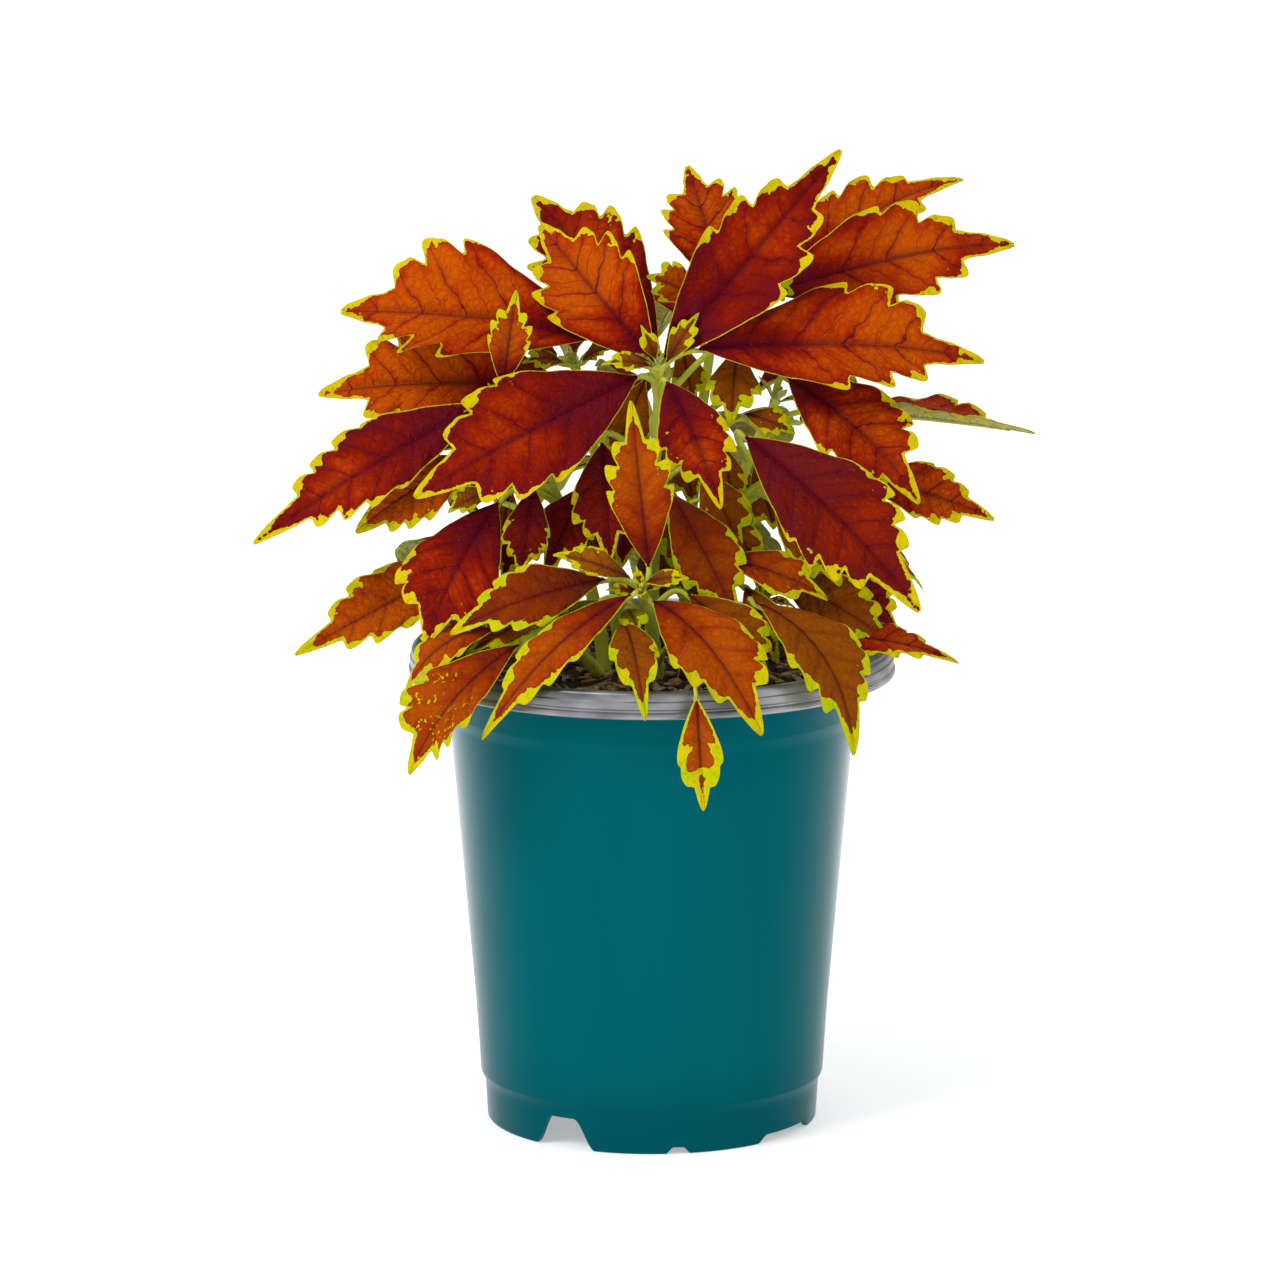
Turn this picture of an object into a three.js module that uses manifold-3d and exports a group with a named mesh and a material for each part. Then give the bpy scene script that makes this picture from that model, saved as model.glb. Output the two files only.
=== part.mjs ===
// A potted coleus: a bushy clump of leafy shoots with toothed blades, rooted in potting soil
// in a tapered nursery pot. Millimetres, +Z up, origin on the pot's axis where it stands.
// The front of the plant faces -Y.

import * as THREE from "three";
import { mergeVertices } from "three/addons/utils/BufferGeometryUtils.js";
import Module from "manifold-3d";

const wasm = await Module();
wasm.setup();

// ---------------------------------------------------------------- driving dimensions

const POT_HEIGHT = 137;
const RIM_RADIUS = 69;
const RIM_BAND = 7.6; // height of the band that hangs from the rim
const WALL = 1.2;
const SHOULDER = { z: 117, radius: 57.4 }; // top of the straight taper
const WAIST = { z: 34, radius: 50.2 }; // below it the wall tapers less
const STEP = { z: 13.4, radius: 48.9 }; // bottom of the wall, above the foot ring
const FOOT_RADIUS = 47;
const FLOOR = 10; // underside of the floor, above the foot ring
const POT_SIDES = 36;

const SOIL_TOP = 131;
const FIT = 0.3; // clearance between pieces that touch

const BLADE_THICKNESS = 0.8;
const VEIN_SWEEP = 0.8; // how far a lateral vein runs forward for each mm sideways
const TOOTH_DEPTH = 0.32; // share of the half width that a notch cuts away
const TEETH_FROM = 0.2; // the margin is entire below this share of the midrib
const TEETH_TO = 0.73;
const TOOTH_REACH = 1.06; // a tooth's point, as a share of the half width there
const BASE_BULGE = 0.08; // where the entire base has its own point on the outline
const TOOTH_PEAK = 0.68; // where a tooth's point stands between its two notches
const FOLD = 0.13; // how much the halves rise from the midrib
const RUFFLE = 0.035; // share of the width by which notches rise and points dip
const STEM_FOOT = 119; // the stems' lower ends, in the soil
const STEM_HALF = 2.1; // half the side of the square stem at its foot
const STEM_TIP_HALF = 1.1;
const PETIOLE_HALF = 0.85;
const NECK_HALF = 0.9; // half the blade's width where the stalk ends
const SMALL_BLADE = 11; // below this width a leaf's stalk is straight

const COLOURS = {
  pot: { color: 0x006c75, roughness: 0.32, metalness: 0 },
  soil: { color: 0x33231a, roughness: 0.95, metalness: 0 },
  leaves: { color: 0xae3f10, roughness: 0.6, metalness: 0 },
};

// ---------------------------------------------------------------- the shoots
// Each shoot: where its stem stands in the soil, where its growing tip is, and its blades.
// A blade: base, tip, full width, turn (degrees from facing up towards facing the front),
// lean (degrees towards +X), arch (height of its bow), teeth on each side, and its own fold where
// its halves rise more than the common one.

const SHOOTS = {
  shoot_main: {
    foot: [0, 0],
    tip: [2, -6, 218],
    blades: [
      [[-15, 0, 224.5], [-88, 14, 229.5], 39, 52, 0, 5, 3, 0.5],
      [[-4, -8, 215], [-66, -36, 186], 34, 68, 0, 5, 3],
      [[1, -5, 218], [-32, 8, 256], 29, 84, 0, 2, 3],
      [[3, -4, 219], [53, 0, 278], 28, 80, 0, 3, 3, 0.25],
      [[13, -6, 222.5], [94, -2, 220], 34, 56, 0, 5, 3, 0.25],
      [[4, -10, 214], [19, -38, 183], 20, 48, 0, 4, 3],
      [[2, 12, 219], [-34, 36, 260], 31, 60, 0, 3, 3],
      [[-14, -12, 197], [-12, -31, 167], 19, 55, 0, 3, 3],
      [[-15, -10, 186], [-30, -24, 161], 18, 55, -20, 3, 3],
      [[5, -15, 183], [24, -35, 150], 19, 50, 0, 3, 3],
      [[14, -8, 188], [25, -21, 168], 14, 50, 0, 2, 2],
      [[24, 8, 220], [22, -6, 202], 15, 45, 0, 2, 2],
      [[0, -9, 218], [-14, -14, 220], 7, 40, 0, 1, 2],
      [[4, -8, 219], [13, -7, 233], 7, 70, 0, 1, 2],
      [[1, -8, 220], [-3, -12, 230], 5, 70, 0, 1, 1],
      [[-2, 14, 206], [-4, 62, 196], 26, -10, 0, 6, 3],
      [[20, -6, 195], [23, -15, 177], 10, 50, 0, 1, 2],
      [[20, -14, 178], [30, -22, 161], 10, 45, 0, 2, 2],
      [[-2, 5, 212], [-12, 2, 187], 15, 65, 0, 2, 2],
      [[6, 5, 203], [12, -1, 176], 15, 65, 0, 2, 2],
      [[-4, 4, 186], [-9, -7, 160], 16, 62, 0, 2, 2],
      [[6, 3, 180], [12, -7, 156], 15, 60, 0, 2, 2],
      [[8, 8, 222], [12, 8, 204], 10, 60, 0, 1, 2],
      [[-6, 6, 176], [-20, 2, 154], 15, 60, 0, 2, 2],
      [[5, 4, 168], [19, 5, 146], 15, 80, 0, 2, 2],
      [[0, 9, 168], [3, 11, 146], 15, 70, 0, 1, 2],
    ],
  },
  shoot_back_right: {
    foot: [9, 11],
    tip: [19, 21, 233],
    blades: [
      [[21, 24, 233], [10, 35, 269], 23, 74, 0, 2, 3],
      [[32, 27, 236], [88, 40, 267], 22, 40, 0, 3, 3],
      [[31, 15, 235], [103, 22, 250], 30, 58, 0, 4, 3],
      [[29, 10, 240], [40, 8, 236], 9, 60, 0, 1, 2],
      [[24, 17, 228], [29, 4, 231], 9, 20, 0, 1, 2],
      [[24, 30, 228], [54, 70, 220], 28, -20, 20, 8, 3],
      [[12, 32, 222], [2, 77, 214], 26, -25, 0, 8, 2],
      [[30, 26, 206], [62, 58, 199], 23, -5, 10, 7, 2],
      [[22, 30, 196], [36, 72, 174], 22, -20, 0, 7, 2],
      [[14, 13, 233], [-1, 11, 241], 13, 55, 0, 1, 2],
      [[19, 14, 190], [29, 16, 166], 13, 60, 0, 2, 2],
    ],
  },
  shoot_back_left: {
    foot: [-9, 11],
    tip: [-22, 19, 214],
    blades: [
      [[-24, 8, 209.5], [-95, 15, 206.5], 33, 55, 0, 4, 3, 0.45],
      [[-25, 10, 216], [-36, 3, 218], 8, 40, 0, 1, 2],
      [[-20, 12, 216], [-11, 6, 221], 8, 40, 0, 1, 2],
      [[-27, 24, 216], [-68, 56, 210], 28, -10, -15, 7, 3],
      [[-22, 28, 216], [-24, 74, 208], 27, -20, 0, 8, 2],
      [[-28, 24, 202], [-78, 48, 192], 24, 5, -10, 7, 3],
      [[-22, 26, 192], [-39, 68, 176], 22, -15, 0, 7, 2],
    ],
  },
  shoot_left: {
    foot: [-13, -1],
    tip: [-42, -13, 208],
    blades: [
      [[-42, -14, 213], [-38, -13, 240], 12, 80, 0, 1, 3],
      [[-47, -11, 208], [-111.6, -22, 169.5], 23, 48, 0, 3.5, 4],
      [[-50, -8, 192], [-83, -20, 173], 21, 55, 0, 3, 3],
      [[-45, -16, 184], [-57, -21, 179], 8, 50, 0, 1, 2],
      [[-43, -18, 181], [-63, -36, 146], 31, 58, -15, 4, 3],
      [[-48, -6, 165], [-101, -14, 137], 21, 50, 0, -1, 3],
      [[-33, -20, 186], [-37, -30, 162], 13, 66, 0, 2, 3],
      [[-38, -10, 173], [-42, -20, 158], 8, 60, 0, 1, 2],
      [[-47, -2, 194], [-94, 20, 176], 25, 0, -10, 6, 2],
      [[-44, 5, 178], [-58, 46, 172], 22, -15, -5, 6, 2],
      [[-40, 2, 182], [-44, 3, 160], 12, 60, 0, 1, 2],
    ],
  },
  shoot_right: {
    foot: [13, -1],
    tip: [35, 0, 207],
    blades: [
      [[38, 3, 213], [75, -23, 184], 27, 60, 15, 4, 3],
      [[48, 5, 204], [108.6, 9, 196], 22, -6, 0, 1, 3, 0.4],
      [[57, 5, 185], [97, 1, 173], 16, 55, 0, 2, 3],
      [[55, -2, 188], [68, -8, 181], 7, 50, 0, 1, 2],
      [[26, -14, 199], [74.5, -42, 156], 31, 66, 10, 5, 4],
      [[34, -11, 180], [53, -24, 159], 18, 58, 10, 3, 3],
      [[26, 0, 203], [40, -8, 199], 9, 50, 0, 1, 2],
      [[42, 9, 200], [68, 50, 188], 25, -10, 15, 6, 2],
      [[38, 10, 182], [60, 46, 170], 22, -10, 15, 6, 2],
      [[29, 6, 188], [35, 8, 168], 12, 60, 0, 1, 2],
    ],
  },
  shoot_front: {
    foot: [2, -14],
    tip: [-3, -40, 160],
    blades: [
      [[-1, -42, 167], [-6, -45, 214], 18, 88, 0, 2, 3],
      [[-6, -42, 164], [-27, -46, 172], 10, 45, 0, 1, 2],
      [[-2, -43, 163], [10, -46, 165], 6, 50, 0, 1, 2],
      [[-13, -38, 163], [-56, -50, 151], 18, 48, 0, 3, 3],
      [[-6, -45, 160], [-47, -62, 122], 15, 50, -15, 8, 3],
      [[0, -44, 158], [30, -77, 127], 26, 45, 10, 8, 3],
      [[-8, -46, 152], [-2, -76, 131], 13, 40, 0, 7, 2],
      [[12, -74, 137], [14, -76, 105], 12, 88, 0, 1, 2],
      [[10, -35, 158], [32, -50, 136], 19, 52, 10, 4, 3],
      [[-15, -33, 156], [-26, -44, 147], 11, 50, 0, 1, 2],
      [[-7, -40, 155], [-4, -51, 151], 8, 30, 0, 1, 1],
    ],
  },
  shoot_low_left: {
    foot: [-11, -12],
    tip: [-31, -31, 147],
    blades: [
      [[-40, -29, 149], [-70, -36, 131], 14, 40, -10, 7, 3],
      [[-27, -26, 152], [-52, -38, 141], 12, 40, 0, 2, 2],
      [[-37, -46, 146], [-67, -52, 110], 26, 45, -30, 6, 3],
    ],
  },
  shoot_low_right: {
    foot: [13, -13],
    tip: [31, -25, 155],
    blades: [
      [[29, -32, 155], [57, -58, 119], 25, 45, 25, 10, 3],
      [[42, -24, 146], [86, -31, 140], 15, 25, 0, 0.5, 3],
      [[20, -23, 166], [49, -33, 157], 14, 45, 0, 2, 2],
      [[35, -17, 160], [68, -26, 142], 18, 58, 0, 3, 3],
      [[46, -8, 160], [70, -14, 142], 16, 55, 0, 3, 3],
      [[26, -24, 158], [35, -40, 139], 11, 55, 5, 3, 2],
    ],
  },
  shoot_back: {
    foot: [0, 20],
    tip: [-2, 42, 178],
    blades: [
      [[-6, 48, 180], [-38, 74, 160], 24, -30, -15, 7, 2],
      [[3, 48, 182], [26, 77, 164], 24, -35, 15, 7, 2],
      [[-2, 52, 172], [-4, 77, 140], 22, -40, 0, 7, 2],
      [[-8, 44, 164], [-42, 64, 141], 20, -25, -15, 6, 2],
      [[6, 44, 164], [40, 62, 142], 20, -25, 15, 6, 2],
      [[-2, 40, 181], [-10, 46, 196], 10, -60, 0, 1, 2],
      [[2, 41, 181], [12, 49, 192], 9, -50, 0, 1, 2],
    ],
  },
  shoot_low_back_left: {
    foot: [-17, 15],
    tip: [-44, 30, 158],
    blades: [
      [[-50, 32, 162], [-68, 48, 147], 22, -10, -20, 5, 2],
      [[-46, 38, 158], [-60, 64, 132], 22, -30, -25, 8, 2],
      [[-50, 24, 156], [-71, 16, 143], 20, 10, -20, 4, 2],
      [[-44, 28, 162], [-56, 28, 173], 9, 0, -30, 1, 2],
    ],
  },
  shoot_low_back_right: {
    foot: [17, 15],
    tip: [44, 30, 158],
    blades: [
      [[50, 32, 160], [71, 50, 148], 22, -10, 20, 6, 2],
      [[46, 38, 158], [60, 65, 132], 22, -30, 25, 8, 2],
      [[50, 22, 156], [78, 26, 149], 18, 10, 20, 5, 2],
      [[44, 28, 162], [54, 22, 172], 9, 0, 30, 1, 2],
      [[38, 36, 150], [52, 58, 137], 14, -30, 15, 5, 2],
    ],
  },
};

// ---------------------------------------------------------------- solids and vectors

const radians = THREE.MathUtils.degToRad;

function vector(point) {
  return new THREE.Vector3(...point);
}

function facets(points, triangles) {
  const geometry = new THREE.BufferGeometry();
  const flat = points.flatMap((point) => [point.x, point.y, point.z]);
  geometry.setAttribute("position", new THREE.Float32BufferAttribute(flat, 3));
  geometry.setIndex(triangles.flat());
  return geometry;
}

function toSolid(geometry) {
  geometry.deleteAttribute("normal");
  geometry.deleteAttribute("uv");
  const merged = mergeVertices(geometry, 1e-3);
  const mesh = new wasm.Mesh({
    numProp: 3,
    vertProperties: new Float32Array(merged.attributes.position.array),
    triVerts: new Uint32Array(merged.index.array),
  });
  return new wasm.Manifold(mesh);
}

function toGeometry(solid) {
  const { vertProperties, triVerts } = solid.getMesh();
  const geometry = new THREE.BufferGeometry();
  geometry.setAttribute("position", new THREE.Float32BufferAttribute(vertProperties, 3));
  geometry.setIndex(new THREE.Uint32BufferAttribute(triVerts, 1));
  geometry.computeVertexNormals();
  return geometry;
}

// The fused body alone: a pocket sealed inside it is filled and a loose scrap is dropped.
function mainBody(solid) {
  const bodies = solid.decompose();
  return bodies.reduce((largest, body) => (body.volume() > largest.volume() ? body : largest));
}

// A closed prism of few sides along a line of points, tapering from one half width to another.
function taperedRod(points, halfStart, halfEnd, sides) {
  const last = points.length - 1;
  const rings = [];
  let across = new THREE.Vector3();
  points.forEach((point, i) => {
    const ahead = points[Math.min(i + 1, last)].clone();
    const along = ahead.sub(points[Math.max(i - 1, 0)]).normalize();
    if (i === 0) {
      across.crossVectors(along, Math.abs(along.z) > 0.8 ? new THREE.Vector3(0, 1, 0) : THREE.Object3D.DEFAULT_UP);
    }
    across = across.clone().addScaledVector(along, -across.dot(along)).normalize();
    const other = new THREE.Vector3().crossVectors(along, across);
    const radius = THREE.MathUtils.lerp(halfStart, halfEnd, i / last) / Math.cos(Math.PI / sides);
    for (let k = 0; k < sides; k++) {
      const angle = (2 * Math.PI * (k + 0.5)) / sides;
      rings.push(
        point
          .clone()
          .addScaledVector(across, radius * Math.cos(angle))
          .addScaledVector(other, radius * Math.sin(angle)),
      );
    }
  });
  const triangles = [];
  for (let i = 0; i < last; i++) {
    for (let k = 0; k < sides; k++) {
      const a = i * sides + k;
      const b = i * sides + ((k + 1) % sides);
      triangles.push([a, b, b + sides], [a, b + sides, a + sides]);
    }
  }
  for (let k = 1; k < sides - 1; k++) {
    triangles.push([0, k + 1, k]);
    triangles.push([last * sides, last * sides + k, last * sides + k + 1]);
  }
  return facets(rings, triangles);
}

// ---------------------------------------------------------------- leaves

// A blade's own axes: along its midrib, across it, and out of its upper face.
function bladeAxes([base, tip, , turn, lean, , , fold = FOLD]) {
  const origin = vector(base);
  const along = vector(tip).sub(origin);
  const length = along.length();
  along.normalize();
  const face = new THREE.Vector3(
    Math.sin(radians(lean)),
    -Math.sin(radians(turn)) * Math.cos(radians(lean)),
    Math.cos(radians(turn)) * Math.cos(radians(lean)),
  );
  face.addScaledVector(along, -face.dot(along)).normalize();
  const across = new THREE.Vector3().crossVectors(along, face);
  return { origin, along, across, face, length, fold };
}

// Half width of the untoothed outline at a vein that leaves the midrib at u, 0 to 1.
function envelope(u) {
  return 5.38 * Math.pow(u, 0.95) * Math.pow(1 - u, 1.6);
}

// A point of the blade's middle surface: the vein leaves the midrib at u and ends `reach` away,
// lifted by its share of the margin's ruffle.
function bladePoint(axes, arch, u, side, reach, lift) {
  const run = u * axes.length + VEIN_SWEEP * reach;
  const share = run / axes.length;
  const height = 4 * arch * share * (1 - share) + axes.fold * reach + lift;
  return axes.origin
    .clone()
    .addScaledVector(axes.along, run)
    .addScaledVector(axes.across, side * reach)
    .addScaledVector(axes.face, height);
}

// The outline's stations past the neck: one or two on the entire base, then a point and a notch
// for each tooth, up to the drawn-out tip.
function stations(width, teeth) {
  const entire = width < SMALL_BLADE ? [TEETH_FROM] : [BASE_BULGE, TEETH_FROM];
  const list = entire.map((u) => ({ u, reach: (width / 2) * envelope(u) * 0.96, lift: 0 }));
  const pitch = (TEETH_TO - TEETH_FROM) / teeth;
  for (let tooth = 0; tooth < teeth; tooth++) {
    const peak = TEETH_FROM + pitch * (tooth + TOOTH_PEAK);
    const notch = TEETH_FROM + pitch * (tooth + 1);
    const lift = RUFFLE * width * envelope(peak);
    list.push({ u: peak, reach: (width / 2) * envelope(peak) * TOOTH_REACH, lift: -lift });
    list.push({ u: notch, reach: (width / 2) * envelope(notch) * (1 - TOOTH_DEPTH), lift });
  }
  return list;
}

// The stem stands upright in the soil and bends towards its growing tip.
function stemCurve({ foot, tip }) {
  const bottom = new THREE.Vector3(foot[0], foot[1], STEM_FOOT);
  const top = vector(tip);
  const bend = new THREE.Vector3(foot[0], foot[1], (bottom.z + top.z) / 2);
  return new THREE.QuadraticBezierCurve3(bottom, bend, top);
}

// The four corners of a leaf stalk at one point of its run: upper right, upper left, lower left
// and lower right of someone looking along it.
function stalkCorners(centre, across, face, halfWidth, halfHeight) {
  const corners = [
    [1, 1],
    [-1, 1],
    [-1, -1],
    [1, -1],
  ];
  return corners.map(([side, up]) =>
    centre
      .clone()
      .addScaledVector(across, side * halfWidth)
      .addScaledVector(face, up * halfHeight),
  );
}

// A leaf stalk leaves the stem below its blade and turns into the blade's midrib.
function stalkPoints(stem, blade, axes) {
  const away = Math.hypot(axes.origin.x - stem.v2.x, axes.origin.y - stem.v2.y);
  const lowest = SOIL_TOP + 4;
  const node = THREE.MathUtils.clamp(axes.origin.z - 0.55 * away, lowest, stem.v2.z - 1);
  const start = stem.getPoint((node - stem.v0.z) / (stem.v2.z - stem.v0.z));
  const bend = axes.origin.clone().addScaledVector(axes.along, -0.45 * start.distanceTo(axes.origin));
  const curve = new THREE.QuadraticBezierCurve3(start, bend, axes.origin);
  return blade[2] < SMALL_BLADE ? curve.getPoints(1) : curve.getPoints(2);
}

// One leaf, stalk and blade. The blade's upper and under faces are the same triangles, joined by
// a narrow rim, and both run into the stalk's corners at the neck.
function leafGeometry(stem, blade) {
  const [, , width, , , arch, teeth] = blade;
  const axes = bladeAxes(blade);
  const half = BLADE_THICKNESS / 2;
  const run = stalkPoints(stem, blade, axes);
  const points = [];
  run.forEach((point, i) => {
    if (i === run.length - 1) {
      points.push(...stalkCorners(point, axes.across, axes.face, NECK_HALF, half));
      return;
    }
    const along = run[i + 1].clone().sub(run[Math.max(i - 1, 0)]).normalize();
    const across = axes.across.clone().addScaledVector(along, -axes.across.dot(along)).normalize();
    const up = new THREE.Vector3().crossVectors(across, along);
    points.push(...stalkCorners(point, across, up, PETIOLE_HALF, PETIOLE_HALF));
  });

  const triangles = [[0, 1, 2], [0, 2, 3]];
  const neck = points.length - 4;
  for (let ring = 0; ring < neck; ring += 4) {
    for (let corner = 0; corner < 4; corner++) {
      const [a, b] = [ring + corner, ring + ((corner + 1) % 4)];
      triangles.push([a, a + 4, b + 4], [a, b + 4, b]);
    }
  }

  // Each row of the blade is six points: rib, right and left of the upper face, then of the under.
  const first = points.length;
  stations(width, teeth).forEach(({ u, reach, lift }) => {
    const row = [
      bladePoint(axes, arch, u, 0, 0, 0),
      bladePoint(axes, arch, u, 1, reach, lift),
      bladePoint(axes, arch, u, -1, reach, lift),
    ];
    [half, -half].forEach((offset) => {
      row.forEach((point) => points.push(point.clone().addScaledVector(axes.face, offset)));
    });
  });
  const last = points.length - 6;
  const tip = points.length;
  const end = bladePoint(axes, arch, 1, 0, 0, 0);
  points.push(end.clone().addScaledVector(axes.face, half), end.clone().addScaledVector(axes.face, -half));

  const [upperRight, upperLeft, lowerLeft, lowerRight] = [neck, neck + 1, neck + 2, neck + 3];
  triangles.push([upperRight, first + 1, first], [upperRight, first, upperLeft]);
  triangles.push([upperLeft, first, first + 2]);
  triangles.push([lowerRight, first + 3, first + 4], [lowerRight, lowerLeft, first + 3]);
  triangles.push([lowerLeft, first + 5, first + 3]);
  triangles.push([upperRight, lowerRight, first + 4], [upperRight, first + 4, first + 1]);
  triangles.push([first + 2, first + 5, lowerLeft], [first + 2, lowerLeft, upperLeft]);
  for (let row = first; row < last; row += 6) {
    const [rib, right, left] = [row, row + 1, row + 2];
    const upper = [
      [rib, right, right + 6],
      [rib, right + 6, rib + 6],
      [rib, rib + 6, left + 6],
      [rib, left + 6, left],
    ];
    triangles.push(...upper, ...upper.map(([a, b, c]) => [a + 3, c + 3, b + 3]));
    triangles.push([right, right + 3, right + 9], [right, right + 9, right + 6]);
    triangles.push([left + 6, left + 9, left + 3], [left + 6, left + 3, left]);
  }
  triangles.push([last, last + 1, tip], [last, tip, last + 2]);
  triangles.push([last + 3, tip + 1, last + 4], [last + 3, last + 5, tip + 1]);
  triangles.push([last + 1, last + 4, tip + 1], [last + 1, tip + 1, tip]);
  triangles.push([tip, tip + 1, last + 5], [tip, last + 5, last + 2]);
  return facets(points, triangles);
}

function shootSolid(shoot) {
  const stem = stemCurve(shoot);
  let body = toSolid(taperedRod(stem.getPoints(4), STEM_HALF, STEM_TIP_HALF, 4));
  shoot.blades.forEach((blade) => {
    body = body.add(toSolid(leafGeometry(stem, blade)));
  });
  return mainBody(body);
}

// ---------------------------------------------------------------- pot and soil

function lathe(profile) {
  const points = profile.map(([radius, z]) => new THREE.Vector2(radius, z));
  return new THREE.LatheGeometry(points, POT_SIDES).rotateX(Math.PI / 2);
}

// An opening of the foot ring, cut straight out from the axis. Its sides are soft S curves.
function footOpening(degrees, halfWidth, height, slope) {
  const side = [];
  for (let step = 0; step <= 5; step++) {
    const rise = (height * (1 - Math.cos((Math.PI * step) / 5))) / 2;
    side.push(new THREE.Vector2(halfWidth - (slope * step) / 5, rise));
  }
  const mirrored = side.map((point) => new THREE.Vector2(-point.x, point.y)).reverse();
  const sill = [new THREE.Vector2(-halfWidth, -2), new THREE.Vector2(halfWidth, -2)];
  const shape = new THREE.Shape([...sill, ...side, ...mirrored]);
  const ring = FOOT_RADIUS - 8;
  const cutter = new THREE.ExtrudeGeometry(shape, { depth: 14, bevelEnabled: false, curveSegments: 3 });
  cutter.rotateX(Math.PI / 2).translate(0, -ring, 0);
  return toSolid(cutter.rotateZ(radians(degrees)));
}

function potGeometry() {
  const skirtTop = POT_HEIGHT - RIM_BAND;
  const inner = SHOULDER.radius - WALL;
  const outside = [
    [0, FLOOR],
    [FOOT_RADIUS - 1, FLOOR],
    [FOOT_RADIUS - 1.6, 0],
    [FOOT_RADIUS - 0.4, 0],
    [FOOT_RADIUS, 0.8],
    [FOOT_RADIUS + 0.7, STEP.z - 2.4],
    [STEP.radius, STEP.z],
    [WAIST.radius, WAIST.z],
    [SHOULDER.radius, SHOULDER.z],
    [SHOULDER.radius + 1.6, SHOULDER.z + 3],
    [SHOULDER.radius + 2.4, skirtTop],
    [SHOULDER.radius + 4, skirtTop + 3.4],
    [RIM_RADIUS - 1.6, skirtTop + 5.2],
    [RIM_RADIUS - 1.2, skirtTop],
    [RIM_RADIUS, skirtTop],
    [RIM_RADIUS, skirtTop + 1.4],
    [RIM_RADIUS - 0.6, skirtTop + 2.2],
    [RIM_RADIUS - 0.8, POT_HEIGHT - 0.9],
    [RIM_RADIUS - 1.8, POT_HEIGHT],
  ];
  const inside = [
    [RIM_RADIUS - 3, POT_HEIGHT],
    [inner + 4.4, POT_HEIGHT - 2.4],
    [inner + 2.6, POT_HEIGHT - 6.6],
    [inner + 1.8, SHOULDER.z + 4],
    [inner, SHOULDER.z],
    [WAIST.radius - WALL, WAIST.z],
    [STEP.radius - WALL, STEP.z],
    [STEP.radius - WALL - 1.6, FLOOR + WALL],
    [0, FLOOR + WALL],
  ];
  let pot = toSolid(lathe([...outside, ...inside]));
  for (const turn of [0, 180]) {
    pot = pot.subtract(footOpening(turn - 32, 10, 9, 6.5));
    pot = pot.subtract(footOpening(turn + 9, 3.8, 2, 2.6));
    pot = pot.subtract(footOpening(turn + 55, 13, 2.4, 4));
  }
  return toGeometry(mainBody(pot));
}

// Low uneven mounds of the loose mix, on rings of the soil's top face.
function unevenTop(geometry) {
  const place = geometry.attributes.position;
  for (let i = 0; i < place.count; i++) {
    const [x, y, z] = [place.getX(i), place.getY(i), place.getZ(i)];
    const inward = THREE.MathUtils.clamp((56 - Math.hypot(x, y)) / 10, 0, 1);
    if (z > SOIL_TOP - 2) {
      place.setZ(i, z + inward * (0.9 * Math.sin(x / 7) * Math.cos(y / 9) - 0.4));
    }
  }
  return geometry;
}

function soilGeometry(stems) {
  const inner = SHOULDER.radius - WALL - FIT;
  const floor = FLOOR + WALL + FIT;
  const profile = [
    [0, floor],
    [STEP.radius - WALL - 1.6 - FIT, floor],
    [STEP.radius - WALL - FIT, STEP.z + 0.2],
    [WAIST.radius - WALL - FIT, WAIST.z],
    [inner, SHOULDER.z],
    [inner + 1.7, SHOULDER.z + 4.2],
    [inner + 2.1, SOIL_TOP - 2],
    [inner + 1, SOIL_TOP - 0.5],
    [47, SOIL_TOP],
    [32, SOIL_TOP],
    [16, SOIL_TOP],
    [0, SOIL_TOP],
  ];
  let soil = toSolid(unevenTop(lathe(profile)));
  stems.forEach((stem) => {
    const line = stem.getPoints(4);
    line[0].z -= FIT;
    soil = soil.subtract(toSolid(taperedRod(line, STEM_HALF + FIT, STEM_TIP_HALF + FIT, 4)));
  });
  return toGeometry(mainBody(soil));
}

// ---------------------------------------------------------------- the scene graph

function piece(name, geometry, finish) {
  const mesh = new THREE.Mesh(geometry, new THREE.MeshStandardMaterial(finish));
  mesh.name = name;
  return mesh;
}

const coleus = new THREE.Group();
coleus.add(piece("pot", potGeometry(), COLOURS.pot));
coleus.add(piece("soil", soilGeometry(Object.values(SHOOTS).map(stemCurve)), COLOURS.soil));
Object.entries(SHOOTS).forEach(([name, shoot]) => {
  coleus.add(piece(name, toGeometry(shootSolid(shoot)), COLOURS.leaves));
});

export default coleus;
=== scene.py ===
"""A potted coleus in a plain studio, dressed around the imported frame.

The leafy shoots, the soil and the pot replace their plain solids with finer pieces of the same
form. Sizes are in millimetres and are turned into metres where meshes are made. The lights and
the camera are placed in metres.
"""

import math

import bmesh
import bpy
import numpy as np
from mathutils import Matrix, Vector


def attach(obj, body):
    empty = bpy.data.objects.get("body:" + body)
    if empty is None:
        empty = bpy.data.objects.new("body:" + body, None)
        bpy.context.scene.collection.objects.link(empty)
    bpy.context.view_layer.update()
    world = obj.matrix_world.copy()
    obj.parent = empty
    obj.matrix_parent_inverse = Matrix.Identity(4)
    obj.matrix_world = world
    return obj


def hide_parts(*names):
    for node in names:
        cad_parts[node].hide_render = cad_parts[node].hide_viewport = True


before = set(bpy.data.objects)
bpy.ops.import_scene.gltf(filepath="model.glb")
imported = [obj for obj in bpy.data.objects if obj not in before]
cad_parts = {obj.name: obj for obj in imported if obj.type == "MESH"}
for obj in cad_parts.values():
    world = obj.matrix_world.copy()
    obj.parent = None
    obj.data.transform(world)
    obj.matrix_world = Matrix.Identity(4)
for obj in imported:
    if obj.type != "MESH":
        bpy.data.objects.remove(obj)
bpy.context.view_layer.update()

MM = 0.001

# ------------ driving values

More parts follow.
